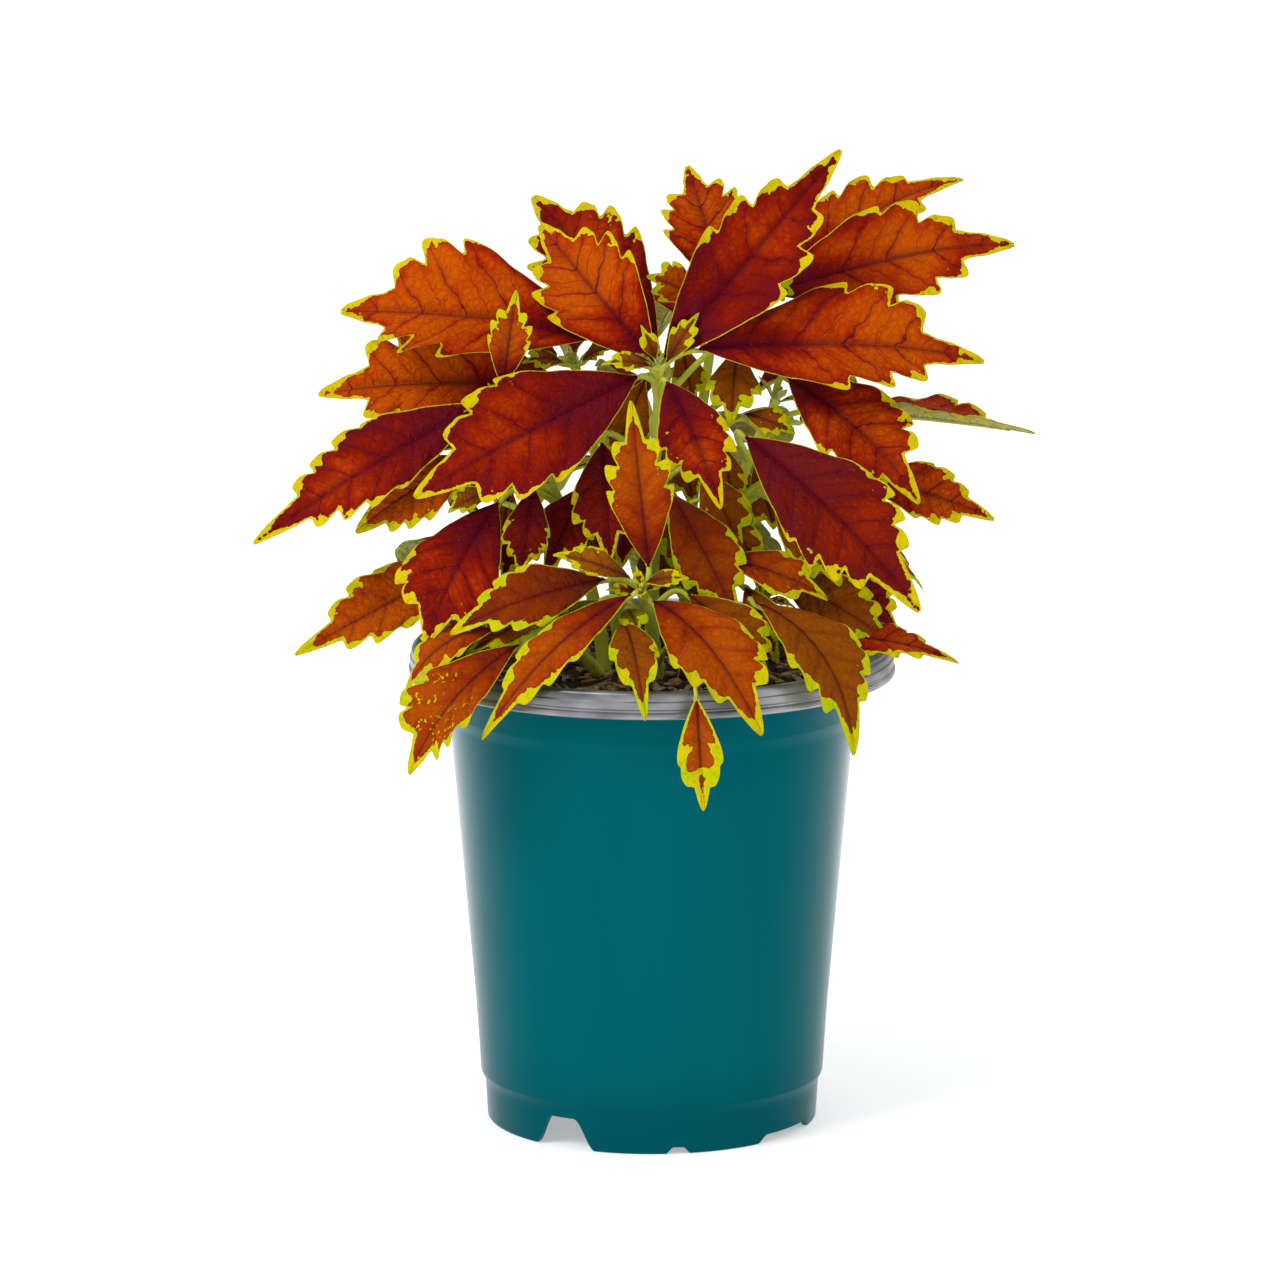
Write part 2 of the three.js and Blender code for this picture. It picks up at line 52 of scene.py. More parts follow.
POT_HEIGHT = 137.0
RIM_RADIUS = 69.0
RIM_BAND = 7.6
WALL = 1.2
SHOULDER_Z, SHOULDER_RADIUS = 117.0, 57.4
WAIST_Z, WAIST_RADIUS = 34.0, 50.2
STEP_Z, STEP_RADIUS = 13.4, 48.9
FOOT_RADIUS = 47.0
FLOOR = 10.0
POT_SIDES = 144
# The openings in half of the foot ring: degrees from the front, half width, height and slope.
NOTCHES = [(-32, 10.0, 9.0, 6.5), (9, 3.8, 2.0, 2.6), (55, 13.0, 2.4, 4.0)]

SOIL_TOP = 131.0
SOIL_GAP = 0.3  # between the soil and the pot's wall
SOIL_RINGS = 46
CHIPS_REACH = 54  # how far from the pot's axis the loose bits lie

STEM_FOOT = 119.0
STEM_HALF = 2.1
STEM_TIP_HALF = 1.1
JOINT_SPACING = 22  # between the thicker joints of a stem
STEM_HAIRS = 5  # hairs on each mm of a stem
STALK_HAIRS = 2.2  # and of a leaf stalk
HAIR_RADIUS = 0.06
# The pairs of unfolding leaves at a growing tip: degrees from the stem, and length.
BUD_PAIRS = [(58, 9.0), (38, 6.5), (16, 4.5)]

VEIN_SWEEP = 0.8  # how far a lateral vein runs forward for each mm sideways
TOOTH_DEPTH = 0.32  # about the share of the half width that a notch takes
TEETH_FROM, TEETH_TO = 0.2, 0.73  # the toothed part, in shares of the blade's length
TOOTHED = TEETH_TO - TEETH_FROM
TOOTH_PEAK = 0.68  # where a tooth is widest, from one notch to the next
TOOTH_REACH = 1.06
LAST_ROW = 0.994  # the blade's last points, just short of its tip
BROAD = 20  # a blade wider than this has nicked teeth and a wavy tip, unless it is low
FOLD = 0.13  # how far the halves rise for each mm outward
RUFFLE = 0.035
CURL_FROM = 0.6  # where the tip begins to curl, in shares of the length
NECK_HALF = 0.9  # half the blade's width where it meets its stalk
BLADE_HALF = 0.25  # half the blade's thickness beside the midrib
EDGE_THINNER = 0.19  # and how much thinner it is at the margin
RIB_RINGS = 14
STALK_RINGS = 9

# A leaf's tone: how crimson, how light, how green, how wide its yellow margin is, and how far
# its yellow islands spread into the blade.
TONES = {
    "orange": (0.27, 1, 0, 0.78, 0),
    "fire": (0.45, 0.95, 0, 0.78, 0),
    "crimson": (0.83, 0.95, 0, 0.72, 0),
    "ruby": (0.75, 0.95, 0, 1, 0.25),
    "russet": (0.25, 0.65, 0, 1.05, 0.05),
    "spangled": (0.2, 0.6, 0, 1.2, 1),
    "maroon": (0.6, 0.45, 0, 1.05, 0.05),
    "dark": (1.1, 0.85, 0, 0.95, 0.05),
    "copper": (0.1, 0.75, 0, 1.2, 0.05),
    "brown": (0.15, 0.2, 0.06, 1.25, 0.05),
    "green": (0, 0.4, 0.8, 1.2, 0),
    "bronze": (-0.15, 0.55, 0, 1.7, 0),
    "young": (0.15, 0.8, 0.36, 1.2, 0),
}

# Each shoot: where its stem stands, its growing tip, and its blades. A blade: base, tip, width,
# turn (degrees from facing up towards the front), lean (towards +X), arch, teeth a side, tone, and
# its own fold where its halves rise more than the common one.
SHOOTS = {}
SHOOTS["shoot_main"] = (0, 0), (2, -6, 218), [
    ((-15, 0, 224.5), (-88, 14, 229.5), 39, 52, 0, 5, 3, "orange", 0.5),
    ((-4, -8, 215), (-66, -36, 186), 34, 68, 0, 5, 3, "crimson"),
    ((1, -5, 218), (-32, 8, 256), 29, 84, 0, 2, 3, "orange"),
    ((3, -4, 219), (53, 0, 278), 28, 80, 0, 3, 3, "crimson", 0.25),
    ((13, -6, 222.5), (94, -2, 220), 34, 56, 0, 5, 3, "fire", 0.25),
    ((4, -10, 214), (19, -38, 183), 20, 48, 0, 4, 3, "ruby"),
    ((2, 12, 219), (-34, 36, 260), 31, 60, 0, 3, 3, "ruby"),
    ((-14, -12, 197), (-12, -31, 167), 19, 55, 0, 3, 3, "dark"),
    ((-15, -10, 186), (-30, -24, 161), 18, 55, -20, 3, 3, "dark"),
    ((5, -15, 183), (24, -35, 150), 19, 50, 0, 3, 3, "maroon"),
    ((14, -8, 188), (25, -21, 168), 14, 50, 0, 2, 2, "brown"),
    ((24, 8, 220), (22, -6, 202), 15, 45, 0, 2, 2, "brown"),
    ((0, -9, 218), (-14, -14, 220), 7, 40, 0, 1, 2, "young"),
    ((4, -8, 219), (13, -7, 233), 7, 70, 0, 1, 2, "young"),
    ((1, -8, 220), (-3, -12, 230), 5, 70, 0, 1, 1, "young"),
    ((-2, 14, 206), (-4, 62, 196), 26, -10, 0, 6, 3, "orange"),
    ((20, -6, 195), (23, -15, 177), 10, 50, 0, 1, 2, "brown"),
    ((20, -14, 178), (30, -22, 161), 10, 45, 0, 2, 2, "brown"),
    ((-2, 5, 212), (-12, 2, 187), 15, 65, 0, 2, 2, "brown"),
    ((6, 5, 203), (12, -1, 176), 15, 65, 0, 2, 2, "brown"),
    ((-4, 4, 186), (-9, -7, 160), 16, 62, 0, 2, 2, "dark"),
    ((6, 3, 180), (12, -7, 156), 15, 60, 0, 2, 2, "brown"),
    ((8, 8, 222), (12, 8, 204), 10, 60, 0, 1, 2, "brown"),
    ((-6, 6, 176), (-20, 2, 154), 15, 60, 0, 2, 2, "brown"),
    ((5, 4, 168), (19, 5, 146), 15, 80, 0, 2, 2, "brown"),
    ((0, 9, 168), (3, 11, 146), 15, 70, 0, 1, 2, "brown"),
]
SHOOTS["shoot_back_right"] = (9, 11), (19, 21, 233), [
    ((21, 24, 233), (10, 35, 269), 23, 74, 0, 2, 3, "orange"),
    ((32, 27, 236), (88, 40, 267), 22, 40, 0, 3, 3, "orange"),
    ((31, 15, 235), (103, 22, 250), 30, 58, 0, 4, 3, "fire"),
    ((29, 10, 240), (40, 8, 236), 9, 60, 0, 1, 2, "young"),
    ((24, 17, 228), (29, 4, 231), 9, 20, 0, 1, 2, "young"),
    ((24, 30, 228), (54, 70, 220), 28, -20, 20, 8, 3, "fire"),
    ((12, 32, 222), (2, 77, 214), 26, -25, 0, 8, 2, "orange"),
    ((30, 26, 206), (62, 58, 199), 23, -5, 10, 7, 2, "crimson"),
    ((22, 30, 196), (36, 72, 174), 22, -20, 0, 7, 2, "copper"),
    ((14, 13, 233), (-1, 11, 241), 13, 55, 0, 1, 2, "copper"),
    ((19, 14, 190), (29, 16, 166), 13, 60, 0, 2, 2, "brown"),
]
SHOOTS["shoot_back_left"] = (-9, 11), (-22, 19, 214), [
    ((-24, 8, 209.5), (-95, 15, 206.5), 33, 55, 0, 4, 3, "orange", 0.45),
    ((-25, 10, 216), (-36, 3, 218), 8, 40, 0, 1, 2, "young"),
    ((-20, 12, 216), (-11, 6, 221), 8, 40, 0, 1, 2, "young"),
    ((-27, 24, 216), (-68, 56, 210), 28, -10, -15, 7, 3, "fire"),
    ((-22, 28, 216), (-24, 74, 208), 27, -20, 0, 8, 2, "orange"),
    ((-28, 24, 202), (-78, 48, 192), 24, 5, -10, 7, 3, "crimson"),
    ((-22, 26, 192), (-39, 68, 176), 22, -15, 0, 7, 2, "copper"),
]
SHOOTS["shoot_left"] = (-13, -1), (-42, -13, 208), [
    ((-42, -14, 213), (-38, -13, 240), 12, 80, 0, 1, 3, "copper"),
    ((-47, -11, 208), (-111.6, -22, 169.5), 23, 48, 0, 3.5, 4, "crimson"),
    ((-50, -8, 192), (-83, -20, 173), 21, 55, 0, 3, 3, "copper"),
    ((-45, -16, 184), (-57, -21, 179), 8, 50, 0, 1, 2, "young"),
    ((-43, -18, 181), (-63, -36, 146), 31, 58, -15, 4, 3, "ruby"),
    ((-48, -6, 165), (-101, -14, 137), 21, 50, 0, -1, 3, "copper"),
    ((-33, -20, 186), (-37, -30, 162), 13, 66, 0, 2, 3, "dark"),
    ((-38, -10, 173), (-42, -20, 158), 8, 60, 0, 1, 2, "dark"),
    ((-47, -2, 194), (-94, 20, 176), 25, 0, -10, 6, 2, "orange"),
    ((-44, 5, 178), (-58, 46, 172), 22, -15, -5, 6, 2, "fire"),
    ((-40, 2, 182), (-44, 3, 160), 12, 60, 0, 1, 2, "brown"),
]
SHOOTS["shoot_right"] = (13, -1), (35, 0, 207), [
    ((38, 3, 213), (75, -23, 184), 27, 60, 15, 4, 3, "fire"),
    ((48, 5, 204), (108.6, 9, 196), 22, -6, 0, 1, 3, "fire", 0.4),
    ((57, 5, 185), (97, 1, 173), 16, 55, 0, 2, 3, "orange"),
    ((55, -2, 188), (68, -8, 181), 7, 50, 0, 1, 2, "young"),
    ((26, -14, 199), (74.5, -42, 156), 31, 66, 10, 5, 4, "dark"),
    ((34, -11, 180), (53, -24, 159), 18, 58, 10, 3, 3, "brown"),
    ((26, 0, 203), (40, -8, 199), 9, 50, 0, 1, 2, "brown"),
    ((42, 9, 200), (68, 50, 188), 25, -10, 15, 6, 2, "fire"),
    ((38, 10, 182), (60, 46, 170), 22, -10, 15, 6, 2, "orange"),
    ((29, 6, 188), (35, 8, 168), 12, 60, 0, 1, 2, "brown"),
]
SHOOTS["shoot_front"] = (2, -14), (-3, -40, 160), [
    ((-1, -42, 167), (-6, -45, 214), 18, 88, 0, 2, 3, "russet"),
    ((-6, -42, 164), (-27, -46, 172), 10, 45, 0, 1, 2, "young"),
    ((-2, -43, 163), (10, -46, 165), 6, 50, 0, 1, 2, "young"),
    ((-13, -38, 163), (-56, -50, 151), 18, 48, 0, 3, 3, "maroon"),
    ((-6, -45, 160), (-47, -62, 122), 15, 50, -15, 8, 3, "russet"),
    ((0, -44, 158), (30, -77, 127), 26, 45, 10, 8, 3, "russet"),
    ((-8, -46, 152), (-2, -76, 131), 13, 40, 0, 7, 2, "brown"),
    ((12, -74, 137), (14, -76, 105), 12, 88, 0, 1, 2, "bronze"),
    ((10, -35, 158), (32, -50, 136), 19, 52, 10, 4, 3, "brown"),
    ((-15, -33, 156), (-26, -44, 147), 11, 50, 0, 1, 2, "green"),
    ((-7, -40, 155), (-4, -51, 151), 8, 30, 0, 1, 1, "green"),
]
SHOOTS["shoot_low_left"] = (-11, -12), (-31, -31, 147), [
    ((-40, -29, 149), (-70, -36, 131), 14, 40, -10, 7, 3, "copper"),
    ((-27, -26, 152), (-52, -38, 141), 12, 40, 0, 2, 2, "brown"),
    ((-37, -46, 146), (-67, -52, 110), 26, 45, -30, 6, 3, "spangled"),
]
SHOOTS["shoot_low_right"] = (13, -13), (31, -25, 155), [
    ((29, -32, 155), (57, -58, 119), 25, 45, 25, 10, 3, "brown"),
    ((42, -24, 146), (86, -31, 140), 15, 25, 0, 0.5, 3, "fire"),
    ((20, -23, 166), (49, -33, 157), 14, 45, 0, 2, 2, "russet"),
    ((35, -17, 160), (68, -26, 142), 18, 58, 0, 3, 3, "brown"),
    ((46, -8, 160), (70, -14, 142), 16, 55, 0, 3, 3, "dark"),
    ((26, -24, 158), (35, -40, 139), 11, 55, 5, 3, 2, "brown"),
]
SHOOTS["shoot_back"] = (0, 20), (-2, 42, 178), [
    ((-6, 48, 180), (-38, 74, 160), 24, -30, -15, 7, 2, "fire"),
    ((3, 48, 182), (26, 77, 164), 24, -35, 15, 7, 2, "orange"),
    ((-2, 52, 172), (-4, 77, 140), 22, -40, 0, 7, 2, "copper"),
    ((-8, 44, 164), (-42, 64, 141), 20, -25, -15, 6, 2, "brown"),
    ((6, 44, 164), (40, 62, 142), 20, -25, 15, 6, 2, "copper"),
    ((-2, 40, 181), (-10, 46, 196), 10, -60, 0, 1, 2, "young"),
    ((2, 41, 181), (12, 49, 192), 9, -50, 0, 1, 2, "young"),
]
SHOOTS["shoot_low_back_left"] = (-17, 15), (-44, 30, 158), [
    ((-50, 32, 162), (-68, 48, 147), 22, -10, -20, 5, 2, "orange"),
    ((-46, 38, 158), (-60, 64, 132), 22, -30, -25, 8, 2, "copper"),
    ((-50, 24, 156), (-71, 16, 143), 20, 10, -20, 4, 2, "fire"),
    ((-44, 28, 162), (-56, 28, 173), 9, 0, -30, 1, 2, "young"),
]
SHOOTS["shoot_low_back_right"] = (17, 15), (44, 30, 158), [
    ((50, 32, 160), (71, 50, 148), 22, -10, 20, 6, 2, "fire"),
    ((46, 38, 158), (60, 65, 132), 22, -30, 25, 8, 2, "orange"),
    ((50, 22, 156), (78, 26, 149), 18, 10, 20, 5, 2, "copper"),
    ((44, 28, 162), (54, 22, 172), 9, 0, 30, 1, 2, "young"),
    ((38, 36, 150), (52, 58, 137), 14, -30, 15, 5, 2, "brown"),
]

# ------------ small helpers


def unit(v):
    return v / np.linalg.norm(v)


def smoothstep(low, high, x):
    t = np.clip((x - low) / (high - low), 0, 1)
    return t * t * (3 - 2 * t)


def link(name, data):
    """A new object in the scene for a mesh, a light or a camera."""
    piece = bpy.data.objects.new(name, data)
    bpy.context.scene.collection.objects.link(piece)
    return piece


def bmesh_object(name, bm):
    mesh = bpy.data.meshes.new(name)
    bm.to_mesh(mesh)
    bm.free()
    return link(name, mesh)


def mesh_object(name, points, faces, materials, attributes=None, indices=None):
    """A mesh object from points in millimetres, with vector attributes on its points."""
    mesh = bpy.data.meshes.new(name)
    mesh.from_pydata((np.asarray(points) * MM).tolist(), [], faces)
    for key, values in (attributes or {}).items():
        layer = mesh.attributes.new(key, "FLOAT_VECTOR", "POINT")
        layer.data.foreach_set("vector", np.asarray(values, dtype=np.float32).ravel())
    for material in materials:
        mesh.materials.append(material)
    if indices is not None:
        mesh.polygons.foreach_set("material_index", indices)
    mesh.shade_smooth()
    mesh.update()
    return link(name, mesh)


class Shader:
    """A node material with one Principled shader, and short ways to add nodes to it."""

    def __init__(self, name, **sockets):
        self.material = bpy.data.materials.new(name)
        self.material.use_nodes = True
        self.tree = self.material.node_tree
        self.shader = self.tree.nodes["Principled BSDF"]
        for key, value in sockets.items():
            self.shader.inputs[key.replace("_", " ")].default_value = value

    def add(self, kind, inputs=None, **settings):
        node = self.tree.nodes.new("ShaderNode" + kind)
        for key, value in settings.items():
            setattr(node, key, value)
        for key, value in (inputs or {}).items():
            self.feed(node.inputs[key], value)
        return node

    def feed(self, socket, value):
        if isinstance(value, bpy.types.NodeSocket):
            self.tree.links.new(value, socket)
        else:
            socket.default_value = value

    def math(self, operation, a, b=0.0, c=0.0):
        return self.add("Math", {0: a, 1: b, 2: c}, operation=operation).outputs[0]

    def times(self, a, b):
        return self.math("MULTIPLY", a, b)

    def scaled(self, x, factor, start):
        """start + factor * x"""
        return self.math("MULTIPLY_ADD", x, factor, start)

    def less(self, a, b):
        """a - b"""
        return self.math("SUBTRACT", a, b)

    def rest(self, x):
        """1 - x"""
        return self.less(1.0, x)

    def larger(self, a, b):
        return self.math("MAXIMUM", a, b)

    def total(self, start, *parts):
        """start, and each part times its weight"""
        for part, weight in parts:
            start = self.scaled(part, weight, start)
        return start

    def between(self, x, low, high):
        """0 where x is at or below low, 1 at or above high."""
        inputs = {"Value": x, "From Min": low, "From Max": high}
        return self.add("MapRange", inputs, interpolation_type="SMOOTHSTEP").outputs["Result"]

    def fade(self, x, low, high):
        """1 where x is at or below low, 0 at or above high."""
        return self.rest(self.between(x, low, high))

    def mix(self, factor, a, b):
        return self.add("Mix", {0: factor, 6: a, 7: b}, data_type="RGBA").outputs[2]

    def place(self):
        return self.add("TexCoord").outputs["Object"]

    def stretch(self, vector, scale):
        return self.add("Mapping", {"Vector": vector, "Scale": scale}).outputs[0]

    def vector(self, name):
        return self.add("Attribute", attribute_name=name).outputs["Vector"]

    def split(self, vector):
        return self.add("SeparateXYZ", {"Vector": vector}).outputs

    def noise(self, vector, scale, detail=2.0, rough=0.5):
        inputs = {"Vector": vector, "Scale": scale, "Detail": detail, "Roughness": rough}
        return self.add("TexNoise", inputs).outputs["Fac"]

    def ramp(self, factor, stops):
        node = self.add("ValToRGB", {"Fac": factor})
        elements = node.color_ramp.elements
        while len(elements) < len(stops):
            elements.new(0.5)
        for element, (place, colour) in zip(elements, stops):
            element.position = place
            element.color = colour
        return node.outputs["Color"]

    def bump(self, height, strength, distance):
        inputs = {"Height": height, "Strength": strength, "Distance": distance}
        self.set("Normal", self.add("Bump", inputs).outputs["Normal"])

    def set(self, socket, value):
        self.feed(self.shader.inputs[socket], value)


# ------------ materials

PURPLE = (0.105, 0.003, 0.012, 1)
MARGIN_YELLOW = (0.68, 0.52, 0.004, 1)
MARGIN_LIME = (0.41, 0.57, 0.001, 1)
# The blade's ground from orange to deep crimson: place on the ramp, and colour.
GROUND = [
    (0.0, (0.59, 0.092, 0.0004, 1)),
    (0.22, (0.49, 0.046, 0.0004, 1)),
    (0.45, (0.33, 0.014, 0.0004, 1)),
    (0.7, (0.205, 0.005, 0.003, 1)),
    (1.0, (0.155, 0.0045, 0.012, 1)),
]
EARTH = [
    (0.3, (0.008, 0.005, 0.003, 1)),
    (0.5, (0.035, 0.019, 0.01, 1)),
    (0.62, (0.09, 0.05, 0.025, 1)),
    (0.72, (0.2, 0.12, 0.06, 1)),
]


def leaf_material():
    """The blades, coloured by the values that their points carry."""
    s = Shader("coleus_leaf", IOR=1.4, Specular_IOR_Level=0.02)
    flat = s.vector("leaf_flat")
    edge, rib, phase = s.split(s.vector("leaf_edge"))  # mm to the margin and the midrib
    share, outward, spangle = s.split(s.vector("leaf_place"))  # along and across the blade
    crimson, light, green = s.split(s.vector("leaf_tone"))
    margin, under, pitch = s.split(s.vector("leaf_more"))  # pitch: mm between two veins
    broad = s.noise(flat, 0.06)
    patchy = s.noise(flat, 0.35, 3.0, 0.6)
    fine = s.noise(flat, 1.7, 2.0, 0.6)

    # where the lateral veins run: one to each tooth, and a minor one between each two
    bent = s.scaled(s.less(s.noise(flat, 0.16), 0.5), 0.5, phase)
    across_vein = s.times(s.math("PINGPONG", bent, 0.5), pitch)
    across_minor = s.times(s.math("PINGPONG", s.math("ADD", bent, 0.5), 0.5), pitch)
    beside = s.between(across_vein, 0.0, 2.6)
    panel = s.between(s.math("MINIMUM", across_vein, across_minor), 0.0, 2.2)

    # the quilted cells between the finest veins
    swirl = s.add("TexNoise", {"Vector": flat, "Scale": 0.5}).outputs["Color"]
    wander = s.add("VectorMath", {0: swirl, "Scale": 1.6}, operation="SCALE").outputs[0]
    strayed = s.add("VectorMath", {0: flat, 1: wander}).outputs[0]
    cells = s.add("TexVoronoi", {"Vector": strayed, "Scale": 0.46}, feature="DISTANCE_TO_EDGE")
    cell_edge = cells.outputs["Distance"]
    quilt = s.between(cell_edge, 0.0, 0.42)

    # the blade's ground: orange in the panels, deeper along the veins, the margin and the base
    ripe = s.scaled(light, 0.9, s.times(crimson, 0.4))
    near_base = s.times(s.fade(share, 0.05, 0.55), ripe)
    depth = s.total(
        s.scaled(crimson, 0.76, -0.28),
        (s.times(s.fade(edge, 0.4, 5.0), light), 0.26),
        (near_base, 0.36),
        # partly painted shade: deeper beside the midrib near the base, the leaf's own crimson there
        # and painted shade of the blade's fold along the midrib
        (s.times(s.fade(rib, 0.5, 7.0), near_base), 0.5),
        (s.less(broad, 0.45), 1.0),
        (s.times(s.less(0.6, beside), s.between(patchy, 0.3, 0.6)), 0.16),
        (s.less(patchy, 0.5), 0.45),
        # painted shade and highlight: deeper in the hollows of the quilting, lighter on its raised
        # cells
        (s.less(0.7, quilt), 0.07),
    )
    ground = s.ramp(depth, GROUND)
    olive = s.mix(patchy, (0.095, 0.03, 0.0006, 1), (0.185, 0.07, 0.001, 1))
    dulled = s.mix(light, s.mix(0.82, ground, olive), ground)
    leafy = s.mix(patchy, (0.08, 0.15, 0.004, 1), (0.2, 0.23, 0.006, 1))
    ground = s.mix(green, dulled, leafy)

    # veins: the midrib, one lateral vein to each tooth, and a fine net between them; they show
    # best on the bright upper leaves
    bold = s.between(light, 0.6, 0.95)
    lateral = s.fade(across_vein, 0.05, 0.45)
    minor = s.fade(across_minor, 0.0, 0.4)
    midrib = s.fade(rib, 0.1, 0.6)
    net = s.fade(cell_edge, 0.0, 0.1)
    veins = s.larger(s.times(lateral, 0.95), s.times(minor, 0.65))
    veins = s.times(veins, s.scaled(bold, 0.6, 0.4))
    veins = s.larger(veins, s.times(s.fade(across_vein, 0.0, 1.6), 0.34))
    veins = s.times(veins, s.rest(s.times(outward, 0.5)))
    veins = s.larger(veins, s.times(net, 0.28))
    halo = s.times(s.fade(rib, 0.2, 2.6), s.less(0.8, s.times(share, 0.6)))
    veins = s.larger(veins, s.times(halo, ripe))
    veins = s.larger(veins, s.times(midrib, s.less(0.9, s.times(share, 0.4))))
    colour = s.mix(veins, ground, PURPLE)
    speck = s.between(fine, 0.7, 0.72)
    colour = s.mix(s.times(speck, 0.3), colour, (0.5, 0.2, 0.01, 1))

    # the ragged yellow margin, widest at the teeth and the tip, with islands beside it
    rag = s.less(s.noise(flat, 0.28), 0.28)
    rag = s.larger(s.times(rag, 3.4), 0.0)
    rag = s.times(rag, s.scaled(bold, 0.5, 0.5))
    rag = s.scaled(s.rest(bold), 0.42, rag)
    width = s.scaled(margin, rag, 0.22)
    width = s.scaled(s.less(s.noise(flat, 1.1, 1.0), 0.5), 0.6, width)
    band = s.less(s.larger(width, 0.32), edge)
    yellow = s.between(band, -0.05, 0.05)
    spread = s.scaled(spangle, 7.0, 1.6)
    zone = s.between(s.math("DIVIDE", band, spread), -1.0, -0.4)
    spots = s.scaled(spangle, 0.1, s.noise(flat, 0.8))
    isle = s.times(s.between(spots, 0.71, 0.725), zone)
    yellow = s.larger(yellow, s.times(isle, s.between(margin, 0.9, 1.0)))
    brink = s.times(s.between(band, -0.45, -0.1), s.between(outward, 0.3, 0.6))
    colour = s.mix(s.times(brink, 0.4), colour, PURPLE)
    lime = s.mix(s.between(patchy, 0.35, 0.65), MARGIN_YELLOW, MARGIN_LIME)
    rim = s.mix(s.scaled(s.rest(light), 1.7, green), MARGIN_YELLOW, lime)
    colour = s.mix(yellow, colour, rim)

    # the under face: pale sage with a faint flush inside the margin and pale raised veins
    sage = s.mix(patchy, (0.34, 0.4, 0.07, 1), (0.48, 0.51, 0.14, 1))
    flush = s.times(s.rest(yellow), s.scaled(crimson, 0.12, 0.2))
    sage = s.mix(flush, sage, (0.42, 0.13, 0.06, 1))
    below = s.mix(s.times(veins, 0.75), sage, (0.6, 0.58, 0.24, 1))
    s.set("Base Color", s.mix(under, colour, below))
    s.set("Roughness", s.scaled(patchy, 0.25, 0.4))

    relief = s.total(s.times(panel, 0.9), (midrib, -0.9), (quilt, 0.55), (fine, 0.25))
    s.bump(s.times(relief, s.scaled(under, -2.0, 1.0)), 1.0, 0.0006)
    return s.material


def stem_material():
    s = Shader("coleus_stem", Roughness=0.5, IOR=1.4, Specular_IOR_Level=0.1)
    place = s.place()
    patch = s.noise(place, 90.0, 3.0, 0.6)
    lines = s.noise(s.stretch(place, (900, 900, 60)), 1.0)
    colour = s.mix(patch, (0.42, 0.5, 0.025, 1), (0.66, 0.67, 0.1, 1))
    colour = s.mix(s.between(lines, 0.55, 0.8), colour, (0.44, 0.22, 0.06, 1))
    s.set("Base Color", colour)
    s.bump(lines, 0.4, 0.0002)
    return s.material


def hair_material():
    s = Shader("coleus_hairs", Roughness=0.6, IOR=1.4, Specular_IOR_Level=0.1)
    patch = s.noise(s.place(), 200.0)
    s.set("Base Color", s.mix(patch, (0.6, 0.62, 0.3, 1), (0.75, 0.72, 0.5, 1)))
    return s.material


def pot_material():
    s = Shader("pot_teal", IOR=1.5, Specular_IOR_Level=0.01, Coat_Roughness=0.22)
    place = s.place()
    broad = s.noise(s.stretch(place, (60, 60, 6)), 1.0)
    grain = s.noise(place, 2600.0)
    height = s.split(place)[2]
    colour = s.mix(broad, (0.0, 0.098, 0.119, 1), (0.0, 0.118, 0.14, 1))
    # painted shade: the teal is darker low on the pot, fading in from 30 mm down to 4 mm above the
    # floor
    foot = s.mix(broad, (0.0, 0.08, 0.1, 1), (0.0, 0.092, 0.113, 1))
    s.set("Base Color", s.mix(s.between(height, 0.004, 0.03), foot, colour))
    facing = s.add("LayerWeight", {"Blend": 0.5}).outputs["Facing"]
    worn = s.scaled(s.between(height, 0.0, 0.1), 0.5, 0.5)
    s.set("Coat Weight", s.times(s.between(facing, 0.26, 0.97), worn))
    s.set("Roughness", s.scaled(s.noise(place, 45.0, 4.0, 0.7), 0.16, 0.24))
    s.bump(s.scaled(broad, 2.0, grain), 0.25, 0.00006)
    return s.material


def rim_material():
    s = Shader("pot_silver", Metallic=0.7, IOR=1.5)
    place = s.place()
    # painted reflection: the silver's colour is mixed from dark and pale patches in place of the
    # reflections on the smooth band
    broad = s.between(s.noise(s.stretch(place, (30, 30, 90)), 1.0, 3.0), 0.3, 0.7)
    grain = s.noise(place, 2200.0)
    s.set("Base Color", s.mix(broad, (0.08, 0.08, 0.086, 1), (0.44, 0.44, 0.46, 1)))
    s.set("Roughness", s.scaled(s.noise(place, 60.0, 4.0, 0.7), 0.2, 0.24))
    s.bump(grain, 0.2, 0.00005)
    return s.material


def earth_material():
    s = Shader("potting_mix", Roughness=0.92, Specular_IOR_Level=0.2)
    place = s.place()
    crumb = s.noise(place, 420.0, 5.0, 0.7)
    clod = s.noise(place, 120.0, 3.0, 0.6)
    s.set("Base Color", s.mix(clod, s.ramp(crumb, EARTH), (0.02, 0.011, 0.006, 1)))
    s.bump(s.math("ADD", crumb, clod), 0.9, 0.0012)
    return s.material


def chip_material(name, dark, pale):
    s = Shader(name, Roughness=0.85, Specular_IOR_Level=0.25)
    grain = s.noise(s.stretch(s.place(), (1, 1, 3)), 300.0, 4.0, 0.65)
    s.set("Base Color", s.mix(s.between(grain, 0.35, 0.7), dark, pale))
    s.bump(grain, 0.6, 0.0004)
    return s.material


def floor_material():
    s = Shader("studio_floor", Roughness=0.7, Specular_IOR_Level=0.2)
    s.set("Base Color", s.mix(s.noise(s.place(), 3.0), (0.9, 0.9, 0.9, 1), (0.92, 0.92, 0.92, 1)))
    s.set("Emission Color", (1, 1, 1, 1))
    s.set("Emission Strength", 0.4)
    return s.material


# ------------ leaves


